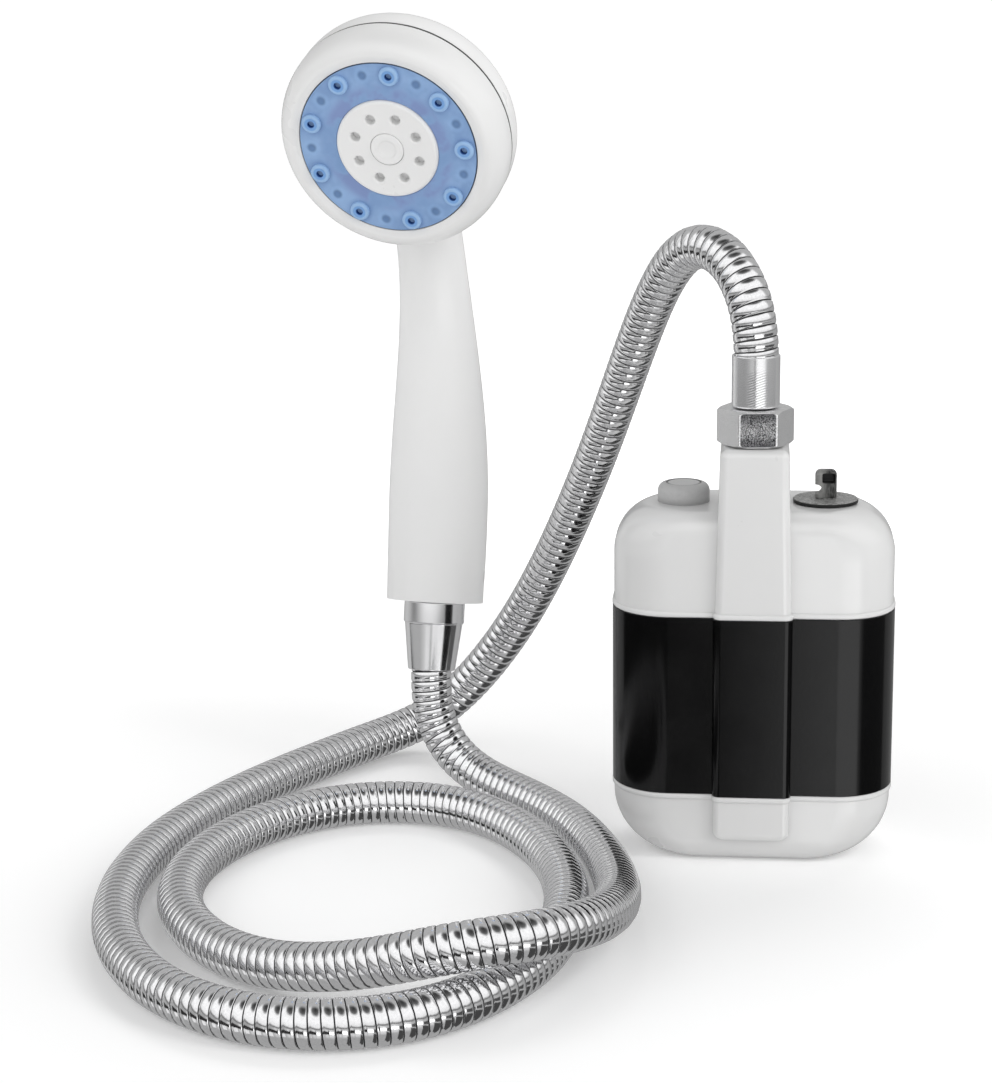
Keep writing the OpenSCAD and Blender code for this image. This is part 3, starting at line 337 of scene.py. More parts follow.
def modify(piece, kind, settings):
    activate(piece)
    bpy.ops.object.modifier_add(type=kind)
    modifier = piece.modifiers[-1]
    for label, value in settings.items():
        setattr(modifier, label, value)
    bpy.ops.object.modifier_apply(modifier=modifier.name)


# evenly spaced angles from one to another, in radians
def sweep(first, last, steps):
    return [math.radians(first + (last - first) * k / steps) for k in range(steps + 1)]


# points of an arc: its centre and radius, its first and last angle, and its steps
def arc(centre, radius, first, last, steps):
    turns = sweep(first, last, steps)
    return [(centre[0] + radius * math.cos(a), centre[1] + radius * math.sin(a)) for a in turns]


def roundedLoop(width, depth, corner, centre, steps):
    bpy.ops.mesh.primitive_plane_add(size=1, location=centre)
    bpy.ops.transform.resize(value=(width, depth, 1), center_override=centre)
    bpy.ops.mesh.bevel(offset=corner, segments=steps, affect="VERTICES")
    bpy.ops.mesh.delete(type="ONLY_FACE")


# a stack of rounded rectangles: width, depth, corner, height, and the middle's place
def stackLoops(name, loops, steps=12):
    piece = startPiece(name)
    for width, depth, corner, height, y in loops:
        roundedLoop(width, depth, corner, (0, y, height), steps)
    onAll(bpy.ops.mesh.bridge_edge_loops)
    closePiece()
    return piece


# turned on a lathe: radius and height pairs, closed to a ring if the last meets the first
def turnPiece(name, profile, sides, at=(0, 0)):
    piece = startPiece(name)
    radius, height = profile[0]
    bpy.ops.mesh.primitive_circle_add(vertices=sides, radius=radius, location=(*at, height))
    for wide, high in profile[1:]:
        bpy.ops.mesh.extrude_region_move(TRANSFORM_OT_translate={"value": (0, 0, high - height)})
        bpy.ops.transform.resize(value=(wide / radius, wide / radius, 1), center_override=(*at, high))
        radius, height = wide, high
    closePiece()
    return piece


def post(name, radius, low, high, sides, at):
    return turnPiece(name, [(radius, low), (radius, high)], sides, at)


def roundedBlock(size, centre, edge, steps):
    bpy.ops.object.select_all(action="DESELECT")
    bpy.ops.mesh.primitive_cube_add(size=1, location=centre, enter_editmode=True)
    block = bpy.context.object
    bpy.ops.transform.resize(value=size)
    bpy.ops.mesh.bevel(offset=edge, segments=steps, affect="EDGES")
    bpy.ops.object.mode_set(mode="OBJECT")
    bakePlace()
    return block


def prism(sides, radius, depth, centre, turn=(0, 0, 0)):
    bpy.ops.object.select_all(action="DESELECT")
    bpy.ops.mesh.primitive_cylinder_add(
        vertices=sides, radius=radius, depth=depth, location=centre, rotation=turn,
    )
    bakePlace()
    return bpy.context.object


def combine(piece, operation, *others):
    for other in others:
        modify(piece, "BOOLEAN", {"operation": operation, "solver": "EXACT", "object": other})
    for other in others:
        bpy.data.objects.remove(other)


def joinPieces(piece, *others):
    activate(piece)
    for other in others:
        other.select_set(True)
    bpy.ops.object.join()


# copies of a piece set evenly round the Z axis, all in one object
def ringOf(piece, count):
    copies = []
    for k in range(1, count):
        activate(piece)
        bpy.ops.object.duplicate(linked=False)
        other = bpy.context.object
        movePiece(other, turned(360 * k / count, "Z"))
        copies.append(other)
    joinPieces(piece, *copies)
    return piece


def dressPiece(piece, finish, body, slot, *replaced):
    piece.data.materials.clear()
    piece.data.materials.append(finish.material)
    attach(piece, body)
    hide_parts(*replaced)


def putPiece(piece, matrix, finish, body, slot, *replaced, angle=32, weighted=True):
    movePiece(piece, Matrix.Scale(mm, 4) @ matrix)
    bpy.ops.object.shade_smooth_by_angle(angle=math.radians(angle))
    if weighted:
        modify(piece, "WEIGHTED_NORMAL", {"keep_sharp": True})
    dressPiece(piece, finish, body, slot, *replaced)
    return piece


# hand shower: its flat end stands here, turned and leaning
hand = {"base": (-110, 50, 67), "turn": -11, "lean": 12, "headAt": (0, -28, 163), "headTilt": 113}
handFrame = Matrix.Translation(hand["base"]) @ turned(hand["turn"], "Z")
tailFrame = handFrame @ turned(-hand["lean"], "X")
headLocal = Matrix.Translation(hand["headAt"]) @ turned(hand["headTilt"], "X")
headFrame = handFrame @ headLocal

# hose: one strip of metal wound along the route
hose = {
    "diameter": 14, "length": 1.37, "pitch": 3.25, "sides": 20, "smoothAngle": 50,
    # across one strip: share of the pitch, and how far the metal lies below the crest
    "strip": [(0.0, 0.62), (0.06, 0.22), (0.2, 0.15), (0.26, 0.02), (0.6, 0.0), (0.9, 0.02), (0.96, 0.18)],
    # the painted shade of the groove between windings takes up these shares at the strip's two edges
    "gapShadeStart": (0.03, 0.1), "gapShadeEnd": (0.94, 0.98),
    "outlet": [(0, -12, 149.5), (0, -12, 155.5), (0, -12, 161.5), (0, -12, 168.5)],
    "arch": [
        (-2, -9, 181), (-9, 2, 193), (-20, 15, 196), (-30, 28, 184), (-40, 41, 158),
        (-52, 54, 122), (-66, 67, 87), (-82, 79, 54), (-101, 87, 27), (-119, 88, 11),
    ],
    "turns": [
        (-138, 76, 7), (-157, 45, 7), (-175, 12, 7), (-190, -29, 7), (-194, -75, 7),
        (-184, -120, 7), (-160, -156, 7), (-125, -173, 7), (-90, -166, 7), (-66, -140, 7),
        (-54, -105, 7), (-54, -64, 7), (-67, -24, 7), (-93, 9, 7), (-130, 13, 7),
        (-161, -11, 7), (-177, -52, 7), (-172, -96, 7), (-145, -131, 7), (-112, -145, 12),
        (-84, -152, 22), (-58, -148, 25), (-41, -121, 19), (-37, -79, 10), (-46, -34, 7),
    ],
    "lead": [(-62, 2, 7), (-83, 25, 7), (-100, 38, 11), (-110, 43, 24)],
    "tailSeat": 13, "tailSteps": (16, 10, 5, 0),
    # steps between two points of the route, length of an even step, and steps to a point of the path
    "curveSteps": 12, "evenStep": 1.0, "pathSteps": 4,
}


def hoseRoute():
    tail = [tailFrame @ Vector((0, 0, -hose["tailSeat"] - down)) for down in hose["tailSteps"]]
    chosen = hose["outlet"] + hose["arch"] + hose["turns"] + hose["lead"]
    points = [Vector(point) for point in chosen] + tail
    points.insert(0, 2 * points[0] - points[1])
    points.append(2 * points[-1] - points[-2])
    route = []
    for a, b, c, d in zip(points, points[1:], points[2:], points[3:]):
        for k in range(hose["curveSteps"]):
            t = k / hose["curveSteps"]
            route.append((
                (1 - t) ** 3 * a + (3 * t**3 - 6 * t**2 + 4) * b
                + (-3 * t**3 + 3 * t**2 + 3 * t + 1) * c + t**3 * d
            ) / 6)
    route.append(points[-2])
    return route


# the route again in even steps, each with its direction and a side that doesn't twist
def walkRoute(route, step):
    far = [0.0]
    for a, b in zip(route, route[1:]):
        far.append(far[-1] + (b - a).length)
    count = int(far[-1] / step)
    middles = []
    k = 0
    for i in range(count + 1):
        s = far[-1] * i / count
        while k < len(route) - 2 and far[k + 1] < s:
            k += 1
        middles.append(route[k].lerp(route[k + 1], (s - far[k]) / (far[k + 1] - far[k])))
    side = Vector((1, 0, 0))
    stations = []
    for i, middle in enumerate(middles):
        along = (middles[min(i + 1, count)] - middles[max(i - 1, 0)]).normalized()
        side = (side - side.dot(along) * along).normalized()
        stations.append((middle, along, side))
    return stations, far[-1]


# the strip winds without a break: the end of one turn meets the start of the next
def hoseMesh(stations, length):
    sides, strip, pitch = hose["sides"], hose["strip"], hose["pitch"]
    count = len(strip)
    rows = (int(length / pitch) - 1) * count
    last = len(stations) - 1
    vertices = []
    for i in range(rows):
        share, below = strip[i % count]
        radius = hose["diameter"] / 2 - below
        for k in range(sides):
            s = pitch * (i // count + share + k / sides)
            spot = min(s / length * last, last - 0.001)
            low = int(spot)
            pairs = zip(stations[low], stations[low + 1])
            middle, along, side = (a.lerp(b, spot - low) for a, b in pairs)
            turn = 2 * math.pi * k / sides
            out = math.cos(turn) * side + math.sin(turn) * along.cross(side)
            vertices.append((middle + radius * out.normalized()) * mm)
    faces = []
    marks = []
    shares = [pair[0] for pair in strip] + [1.0]
    for i in range(rows - count - 1):
        low, high = shares[i % count], shares[i % count + 1]
        for k in range(sides):
            a = i * sides + k
            b = a + 1 if k + 1 < sides else (i + count) * sides
            faces.append((a, b, b + sides, a + sides))
            first = i // count + k / sides
            second = first + 1 / sides
            marks += [(low, first), (low, second), (high, second), (high, first)]
    mesh = bpy.data.meshes.new("hose")
    mesh.from_pydata(vertices, [], faces)
    for loop, mark in zip(mesh.uv_layers.new(name="strip").data, marks):
        loop.uv = mark
    return mesh


def windHose(finish):
    stations, length = walkRoute(hoseRoute(), hose["evenStep"])
    piece = bpy.data.objects.new("hose", hoseMesh(stations, length))
    bpy.context.collection.objects.link(piece)
    activate(piece)
    bpy.ops.object.mode_set(mode="EDIT")
    onAll(bpy.ops.mesh.delete_loose)
    onAll(bpy.ops.mesh.fill_holes, sides=0)
    onAll(bpy.ops.mesh.normals_make_consistent, inside=False)
    bpy.ops.object.mode_set(mode="OBJECT")
    bpy.ops.object.shade_smooth_by_angle(angle=math.radians(hose["smoothAngle"]))
    dressPiece(piece, finish, "pump", "hose_metal", "hose_riser", "hose_coil", "hose_lead")
    return piece, [tuple(station[0] * mm) for station in stations[::hose["pathSteps"]]]


def woundMetal():
    metal = Finish("hoseMetal", {"Specular IOR Level": 0.5})
    across = metal.parts(metal.uv())[0]
    # painted shade: dark, duller and less metallic in the groove between windings
    gapShade = 1 - across.rise(*hose["gapShadeStart"]) * across.fall(*hose["gapShadeEnd"])
    smear = metal.noise(320)
    bright = metal.mix(metal.noise(1500), (0.72, 0.72, 0.73), (0.97, 0.97, 0.98))
    metal.feed("Base Color", metal.mix(gapShade, bright, (0.04, 0.04, 0.042)))
    metal.feed("Metallic", 1 - gapShade * 0.5)
    metal.feed("Roughness", 0.04 + 0.12 * smear + 0.3 * gapShade)
    metal.bump(smear, depth=0.0002, strength=0.2)
    return metal


hosePiece, hosePath = windHose(woundMetal())
print("hose wound")


# white plastic: given a seam height, it is painted near-black below that height in the head's frame,
# painted shade for the gap at the seam
def whitePlastic(name, tone, gloss, seam=None, fade=0.04):
    white = Finish(name, {"IOR": 1.48, "Coat Roughness": 0.03})
    cloud = white.noise(45)
    pale = white.mix(cloud, grey(tone), (tone + 0.03, tone + 0.03, tone + 0.025))
    if seam is not None:
        height = white.parts(white.placeIn(headFrame))[2]
        # painted shade: near-black below the seam height, for the gap at the seam
        pale = white.mix(height.fall(seam - fade, seam), pale, grey(0.015))
    white.feed("Base Color", pale)
    white.feed("Roughness", 0.24 + 0.1 * cloud)
    white.feed("Coat Weight", gloss + 0.08 * cloud)
    white.bump(white.noise(1500, 2), depth=0.00002, strength=0.2)
    return white


def blackPlastic():
    black = Finish("blackPlastic", {"IOR": 1.36, "Coat Roughness": 0.12})
    dust = black.noise(900, 4, 0.7)
    cloud = black.noise(60)
    tone = black.mix(dust.rise(0.55, 0.8), (0.002, 0.002, 0.0022), (0.006, 0.006, 0.0062))
    black.feed("Base Color", tone)
    black.feed("Roughness", 0.1 + 0.1 * cloud)
    black.feed("Coat Weight", 0.02 + 0.03 * cloud)
    black.bump(dust, depth=0.00002, strength=0.2)
    return black


# pump case: two caps with a band between them, and a rib up its front
case = {
    "width": 89, "depth": 44, "corner": 18, "domeSteps": 24, "edgeSteps": 4,
    "ribWidth": 24, "ribOut": 3, "ribCorner": 2, "ribSteps": 8,
    "lipHeight": 2, "lipOut": 0.6, "lipEdge": 0.8, "bandOut": 0.5, "bandEdge": 0.15,
}
topCap = {
    "foot": 81.5, "height": 33, "side": 15, "edge": 6, "outletY": -12,
    "neckWidth": 21.5, "neckDepth": 26, "neckTop": 135.5, "neckEdge": 2.5, "neckSteps": 6,
    "neckCorner": 2.6, "leastCorner": 1,
}
# the button's well on the left and the plug's port on the right, cut from the well's floor past the top
controls = {
    "x": 22.5, "wellRadius": 9.8, "boreRadius": 8.3, "portRadius": 6.1,
    "wellFloor": 97, "ceiling": 111.3, "cutTo": 117.5,
}
# holes have a radius, a low and a high end, and the groove a width, a length and a corner
bottomCap = {
    "top": 23.5, "side": 20, "edge": 8, "ribFoot": 8.6, "ribRound": 2.6, "footSteps": 8,
    "intakeY": 5.5, "intake": (9, -1, 6), "chamber": (12.6, 7.6, 30),
    "screwX": 16.8, "screwY": 12.5, "counterbore": (2.9, -1, 3.6),
    "groove": (5, 40, 0.5), "grooveY": 25.5, "grooveLevels": (-1, 0.8),
}
# the rib runs back into the case by half a corner
ribReach = case["ribOut"] + case["corner"] / 2
ribMiddle = -case["depth"] / 2 - case["ribOut"] + ribReach / 2


# heights run from the open end up to the rounded end
def domeLoops(side, edge, height):
    loops = [(case["width"], case["depth"], case["corner"], 0)]
    for turn in sweep(0, 90, case["domeSteps"]):
        rise = height - side + side * math.sin(turn)
        above = max(0, rise - height + edge)
        inset = edge - math.sqrt(max(0, edge * edge - above * above))
        width = case["width"] - 2 * side * (1 - math.cos(turn))
        loops.append((width, case["depth"] - 2 * inset, case["corner"] - inset, rise))
    return loops


def slabLoops(width, depth, corner, y, low, high, edge):
    loops = []
    for level, first in ((low + edge, -90), (high - edge, 0)):
        for turn in sweep(first, first + 90, case["edgeSteps"]):
            inset = edge * (1 - math.cos(turn))
            height = level + edge * math.sin(turn)
            loops.append((width - 2 * inset, depth - 2 * inset, corner - inset, height, y))
    return loops


# a straight stretch of the case with its rib, standing out from the caps by a little
def girdle(low, high, out, edge):
    more = 2 * out
    plain = (case["width"] + more, case["depth"] + more, case["corner"] + out, 0)
    rib = (case["ribWidth"] + more, ribReach + more, case["ribCorner"] + out, ribMiddle)
    slab = stackLoops("girdle", slabLoops(*plain, low, high, edge))
    return slab, stackLoops("girdleRib", slabLoops(*rib, low, high, edge), case["ribSteps"])


def lipPieces(low):
    return girdle(low, low + case["lipHeight"], case["lipOut"], case["lipEdge"])


def makeTopCap(finish):
    foot, y = topCap["foot"], topCap["outletY"]
    loops = domeLoops(topCap["side"], topCap["edge"], topCap["height"])
    cap = stackLoops("topCap", [(*loop[:3], foot + loop[3], 0) for loop in loops])
    width, depth = topCap["neckWidth"], topCap["neckDepth"]
    corner, edge = topCap["neckCorner"], topCap["neckEdge"]
    neck = [(case["ribWidth"], depth, corner, foot, y)]
    for turn in sweep(0, 90, topCap["neckSteps"]):
        inset = edge * (1 - math.cos(turn))
        height = topCap["neckTop"] - edge * (1 - math.sin(turn))
        inner = max(corner - inset, topCap["leastCorner"])
        neck.append((width - 2 * inset, depth - 2 * inset, inner, height, y))
    x, low, high = controls["x"], controls["wellFloor"], controls["cutTo"]
    wide, bore, ceiling = controls["wellRadius"], controls["boreRadius"], controls["ceiling"]
    profile = [(wide, low), (wide, ceiling), (bore, ceiling), (bore, high)]
    well = turnPiece("well", profile, sideCount["bore"], (-x, 0))
    port = post("port", controls["portRadius"], low, high, sideCount["bore"], (x, 0))
    combine(cap, "DIFFERENCE", well, port)
    joinPieces(cap, stackLoops("neck", neck), *lipPieces(foot))
    putPiece(cap, stay, finish, "pump", "white_plastic", "top_cap")


def makeBottomCap(finish):
    top = bottomCap["top"]
    loops = domeLoops(bottomCap["side"], bottomCap["edge"], top)
    cap = stackLoops("bottomCap", [(*loop[:3], top - loop[3], 0) for loop in loops])
    width, corner, curve = case["ribWidth"], case["ribCorner"], bottomCap["ribRound"]
    rib = []
    for turn in sweep(0, 90, bottomCap["footSteps"]):
        inset = curve * (1 - math.sin(turn))
        height = bottomCap["ribFoot"] + curve * (1 - math.cos(turn))
        rib.append((width - 2 * inset, ribReach - inset, corner, height, ribMiddle))
    rib.append((width, ribReach, corner, top, ribMiddle))
    middle = (0, bottomCap["intakeY"])
    y = bottomCap["grooveY"]
    groove = [(*bottomCap["groove"], level, y) for level in bottomCap["grooveLevels"]]
    tools = [
        post("intake", *bottomCap["intake"], sideCount["intake"], middle),
        post("chamber", *bottomCap["chamber"], sideCount["intake"], middle),
        stackLoops("groove", groove, 2),
    ]
    for x in (-bottomCap["screwX"], bottomCap["screwX"]):
        for y in (-bottomCap["screwY"], bottomCap["screwY"]):
            tools.append(post("counterbore", *bottomCap["counterbore"], sideCount["small"], (x, y)))
    combine(cap, "DIFFERENCE", *tools)
    lips = lipPieces(top - case["lipHeight"])
    joinPieces(cap, stackLoops("rib", rib, case["ribSteps"]), *lips)
    putPiece(cap, stay, finish, "pump", "white_plastic", "bottom_cap")


def makeBand(finish):
    band, rib = girdle(bottomCap["top"], topCap["foot"], case["bandOut"], case["bandEdge"])
    band.name = "middleBand"
    joinPieces(band, rib)
    putPiece(band, stay, finish, "pump", "black_plastic", "middle_band")


caseWhite = whitePlastic("casePlastic", 0.67, 0.75)
makeTopCap(caseWhite)
makeBottomCap(caseWhite)
makeBand(blackPlastic())
print("case made")


# button: low, with a rounded shoulder and a fine groove line round its top; the line is painted shade, the
# paler middle of the top a painted highlight, and the darker lower side painted shade
button = {
    "high": 120.5, "line": 5.5,
    # radius and height pairs: the stem and underside, the shoulder's middle, and the top with its line
    "below": [(3.0, 103.2), (3.0, 109.8), (8.25, 109.8)],
    "shoulder": 2.5, "shoulderAt": (5.75, 118),
    "above": [(5.6, 120.5), (5.5, 120.2), (5.15, 120.2), (5.05, 120.42), (core, 120.4)],
    # where the painted shade of the line, the painted highlight of the pale middle and the painted shade of
    # the lower side fade, from the line and from the top
    "grooveShadeFrom": (-0.55, -0.35), "grooveShadeTo": (0.1, 0.3), "paintedLightTo": (-0.6, -0.4),
    "topFrom": (-1.0, -0.6), "sideShadeTo": (-6.5, -3.5),
}
buttonFrame = Matrix.Translation((-controls["x"], 0, 0))


def buttonPlastic():
    dull = Finish("greyButton", {"IOR": 1.45})
    x, y, z = dull.parts(dull.placeIn(buttonFrame))
    down = z - button["high"]
    out = farFrom(x, y) - button["line"]
    grain = dull.noise(900, 4, 0.65)
    top = down.rise(*button["topFrom"])
    # painted shade in the groove line round the top
    line = out.rise(*button["grooveShadeFrom"]) * out.fall(*button["grooveShadeTo"]) * top
    tone = dull.mix(grain, grey(0.41), grey(0.5))
    # painted highlight: the middle of the top is paler
    tone = dull.mix(out.fall(*button["paintedLightTo"]) * top * 0.35, tone, grey(0.6))
    # painted shade: the side darkens towards the bottom
    tone = dull.mix(down.fall(*button["sideShadeTo"]) * 0.4, tone, grey(0.2))
    dull.feed("Base Color", dull.mix(line * 0.75, tone, grey(0.12)))
    dull.feed("Roughness", 0.36 + 0.16 * grain)
    dull.bump(grain, depth=0.00003, strength=0.3)
    return dull


def makeButton(finish):
    shoulder = arc(button["shoulderAt"], button["shoulder"], 0, 88, 10)
    piece = turnPiece("button", button["below"] + shoulder + button["above"], sideCount["middle"])
    putPiece(piece, buttonFrame, finish, "power_button", "grey_plastic", "power_button", angle=40)


# charge plug: a thin speckled flange with a dark rim, and a streaked pull tab with a painted highlight down
# its left and a dark window
plug = {
    "seat": 114.55, "thick": 1.25,
    # shank with the seal's groove, then the flange
    "profile": [
        (core, -8.1), (5.0, -8.1), (5.8, -7.3), (5.8, -5.0), (4.9, -5.0), (4.9, -3.1), (5.8, -3.1),
        (5.8, 0), (10.15, 0), (10.3, 0.15), (10.3, 0.95), (10.0, 1.25), (core, 1.25),
    ],
    "tab": (6.8, 5.0, 9.2), "tabSunk": 0.8, "tabEdge": 1.7, "tabSteps": 6,
    "window": (4.2, 3.4, 3.4), "windowAt": (0.75, -1.2, 7.9), "windowEdge": 0.8, "windowSteps": 4,
    "notch": 1.5, "notchLength": 9, "notchIn": 0.6, "notchUp": 3.1,
    # heights where the rim ends and the tab begins, and where the painted highlight on the tab's left ends
    "rimTo": (1.0, 1.15), "tabFrom": (1.35, 1.7), "paintedLightTo": (-2.0, 1.2),
    # soft edges of the painted shade inside the window, from its half size and from front to back
    "windowShadeSoft": (-0.2, 0.05), "windowShadeFront": (-2.3, -2.0), "windowShadeBack": (1.0, 1.2),
}
plugFrame = Matrix.Translation((controls["x"], 0, plug["seat"]))


def plugMetal():
    metal = Finish("plugMetal", {"Metallic": 0.35})
    x, y, z = metal.parts(metal.placeIn(plugFrame))
    grit = metal.noise(1500, 4, 0.75)
    long = metal.add("ShaderNodeCombineXYZ", {}, {0: x, 1: y, 2: z * 0.25})
    streak = metal.noise(1.6, at=long)
    top = metal.mix(grit.rise(0.35, 0.65), grey(0.1), (0.5, 0.5, 0.49))
    top = metal.mix(z.fall(*plug["rimTo"]), top, grey(0.012))
    tab = metal.mix(streak.rise(0.35, 0.65), (0.02, 0.02, 0.0195), (0.12, 0.12, 0.116))
    # painted highlight: the tab's left side is paler
    tab = metal.mix(x.fall(*plug["paintedLightTo"]) * 0.8, tab, (0.34, 0.34, 0.33))
    tone = metal.mix(z.rise(*plug["tabFrom"]), top, tab)
    wide = abs(x - plug["windowAt"][0]) - plug["window"][0] / 2
    high = abs(z - plug["windowAt"][2]) - plug["window"][2] / 2
    window = wide.fall(*plug["windowShadeSoft"]) * high.fall(*plug["windowShadeSoft"])
    window = window * y.rise(*plug["windowShadeFront"]) * y.fall(*plug["windowShadeBack"])
    # painted shade: the walls inside the window are near-black
    metal.feed("Base Color", metal.mix(window, tone, grey(0.012)))
    metal.feed("Roughness", 0.3 + 0.25 * grit)
    metal.bump(grit, depth=0.00008, strength=0.4)
    return metal


def makePlug(finish):
    piece = turnPiece("plug", plug["profile"], sideCount["middle"])
    width, depth, height = plug["tab"]
    thick, sunk = plug["thick"], plug["tabSunk"]
    middle = (0, 0, height / 2 + thick - sunk / 2)
    tab = roundedBlock((width, depth, height + sunk), middle, plug["tabEdge"], plug["tabSteps"])
    window = roundedBlock(plug["window"], plug["windowAt"], plug["windowEdge"], plug["windowSteps"])
    side = (plug["notchIn"] - width / 2, 0, thick + plug["notchUp"])
    notch = prism(sideCount["small"], plug["notch"], plug["notchLength"], side, (math.pi / 2, 0, 0))
    combine(tab, "DIFFERENCE", window, notch)
    joinPieces(piece, tab)
    putPiece(piece, plugFrame, finish, "charge_plug", "dark_plastic", "charge_plug", angle=40)


# hex nut: its front flat is dark and speckled between bright edges
nut = {
    "y": -12, "low": 135.8, "height": 11.3, "flats": 21, "turn": 5,
    "edge": 0.3, "edgeSteps": 3, "edgeAngle": 30,
    # the rounding at both ends: how far in, where it starts and leaves the corners, and room outside
    "chamfer": 1.4, "chamferFrom": 0.84, "chamferTo": 0.98, "room": 0.2, "overlap": 0.001,
    # the dark patch: its half size without its round corners, its edge, its depth, and its painted
    # reflection, paler in the middle and darker up and down
    "patch": (4.3, 4.1), "patchEdge": (1.0, 1.4), "patchDepth": (0.06, 0.12), "paintedReflection": (0.5, 4.5),
}
nutFrame = Matrix.Translation((0, nut["y"], nut["low"])) @ turned(nut["turn"], "Z")


def nutChrome():
    chrome = Finish("nutChrome", {"Metallic": 1.0})
    x, y, z = chrome.parts(chrome.placeIn(nutFrame))
    high = abs(z - nut["height"] / 2)
    sideways = (abs(x) - nut["patch"][0]).greater(0)
    upright = (high - nut["patch"][1]).greater(0)
    patch = farFrom(sideways, upright).fall(*nut["patchEdge"])
    flat = patch * (y + nut["flats"] / 2).fall(*nut["patchDepth"])
    speck = chrome.noise(3200, 4, 0.75).rise(0.44, 0.57)
    haze = chrome.noise(160)
    # painted reflection: the patch is paler in the middle and darker towards top and bottom
    pale = chrome.mix(high.rise(*nut["paintedReflection"]), (0.72, 0.72, 0.73), (0.28, 0.28, 0.29))
    dark = chrome.mix(speck, (0.02, 0.02, 0.022), pale)
    plain = chrome.mix(haze, (0.88, 0.88, 0.89), grey(0.99))
    chrome.feed("Base Color", chrome.mix(flat, plain, dark))
    chrome.feed("Roughness", 0.16 + 0.16 * haze + 0.2 * flat)
    chrome.bump(speck, depth=0.00005, strength=0.25)
    return chrome


def makeNut(finish):
    corner = nut["flats"] / 2 / math.cos(math.pi / 6)
    high, inner, outer = nut["height"], corner - nut["chamfer"], corner + nut["room"]
    first, second = nut["chamferFrom"], nut["chamferTo"]
    piece = prism(6, corner, high, (0, 0, high / 2))
    piece.name = "hoseNut"
    movePiece(piece, turned(30, "Z"))
    modify(piece, "BEVEL", {
        "width": nut["edge"], "segments": nut["edgeSteps"],
        "limit_method": "ANGLE", "angle_limit": math.radians(nut["edgeAngle"]),
    })
    limit = turnPiece("nutRound", [
        (core, -nut["room"]), (inner, -nut["overlap"]), (corner, first), (outer, second),
        (outer, high - second), (corner, high - first), (inner, high), (core, high + nut["room"]),
    ], sideCount["middle"])
    combine(piece, "INTERSECT", limit)
    return putPiece(piece, nutFrame, finish, "hose_nut", "bright_metal", "hose_nut", angle=20)


# chrome with fine slanted lines left by the lathe, painted dark only on a stretch in front where the
# highlight falls, a painted reflection, and softer on the ferrule
lathe = {
    "pitch": 0.8, "slant": 0.35, "litStretchX": 0.6, "litStretchOut": (1.8, 3.7), "litStretchTo": (157, 160.5),
    "softFrom": (120, 130),
}


def turnedChrome():
    chrome = Finish("turnedChrome", {"Metallic": 1.0})
    x, z = chrome.parts(chrome.placeIn(stay))[::2]
    slanted = z - x * lathe["slant"]
    lines = x.maths("SINE", slanted * (2 * math.pi / lathe["pitch"])) * 0.5 + 0.5
    # painted reflection: the lathe lines show only on the stretch where the highlight falls
    litStretch = abs(x - lathe["litStretchX"]).fall(*lathe["litStretchOut"]) * z.fall(*lathe["litStretchTo"])
    chrome.feed("Base Color", chrome.mix(lines * litStretch * 0.35, (0.95, 0.95, 0.96), (0.3, 0.3, 0.31)))
    chrome.feed("Roughness", 0.08 + 0.1 * chrome.noise(220) + 0.09 * z.rise(*lathe["softFrom"]))
    chrome.bump(lines * litStretch, depth=0.00003, strength=0.3)
    return chrome


# ferrule on the hose's start, with a rolled lower edge
ferrule = {
    "roll": ((6.9, 148), 0.6, -90, 0, 6), "edge": ((7.25, 163.25), 0.25, 0, 90, 4),
    "bore": [(6, 163.5), (6, 147.4)],
}


def makeFerrule(finish):
    bore = ferrule["bore"]
    profile = bore[-1:] + arc(*ferrule["roll"]) + arc(*ferrule["edge"]) + bore
    piece = turnPiece("ferrule", profile, sideCount["middle"])
    matrix = Matrix.Translation((0, nut["y"], 0))
    return putPiece(piece, matrix, finish, "pump", "bright_metal", "hose_ferrule", angle=40)


# conical nut under the handle: a straight band, a step and a long taper
coneNut = {
    "top": ((10.1, -0.7), 0.4, 90, 0, 5), "band": ((10.1, -7.2), 0.4, 0, -80, 5),
    "step": [(10, -7.85), (9.98, -8.1)], "end": ((7.8, -23.6), 0.4, 0, -90, 5),
    "bore": [(7.3, -24), (7.3, -0.3)],
}


def makeConeNut(finish):
    bore = coneNut["bore"]
    profile = bore[-1:] + arc(*coneNut["top"]) + arc(*coneNut["band"]) + coneNut["step"]
    profile += arc(*coneNut["end"]) + bore
    piece = turnPiece("coneNut", profile, sideCount["middle"])
    return putPiece(piece, tailFrame, finish, "cone_nut", "bright_metal", "cone_nut", angle=40)


chrome = turnedChrome()
makeButton(buttonPlastic())
makePlug(plugMetal())
fittings = [makeNut(nutChrome()), makeFerrule(chrome), makeConeNut(chrome)]
fittings += [nodes["tail_insert"], nodes["tail_washer"]]
print("small pieces made")


# hand shower's body: rings along a bent spine, run into the domed back of the head
handle = {
    "tailReach": 60.3, "root": (0, -11.4, 149.4), "rootLean": -38, "rootReach": 40.8,
    "belly": (35, 29.4), "slim": (23, 19), "bellyAt": 32, "slimAt": 130.4, "buttShare": 0.97,
    "rings": 40, "sides": 64, "below": 5, "voxel": 0.8, "smooth": 40, "smoothShare": 0.5,
    "headRadius": 38, "rim": 5.5, "dome": 18, "domeSteps": 19, "domeCore": 0.5, "past": 5, "headAbove": 110,
}


def handleSize(height, which):
    belly, slim = handle["belly"][which], handle["slim"][which]
    if height < handle["bellyAt"]:
        return belly * (1 - (1 - handle["buttShare"]) * (1 - height / handle["bellyAt"]) ** 2)
    share = min(1, (height - handle["bellyAt"]) / (handle["slimAt"] - handle["bellyAt"]))
    return slim + (belly - slim) * (1 + math.cos(math.pi * share)) / 2


# a direction that leans back from upright
def leaning(degrees):
    return Vector((0, math.sin(math.radians(degrees)), math.cos(math.radians(degrees))))


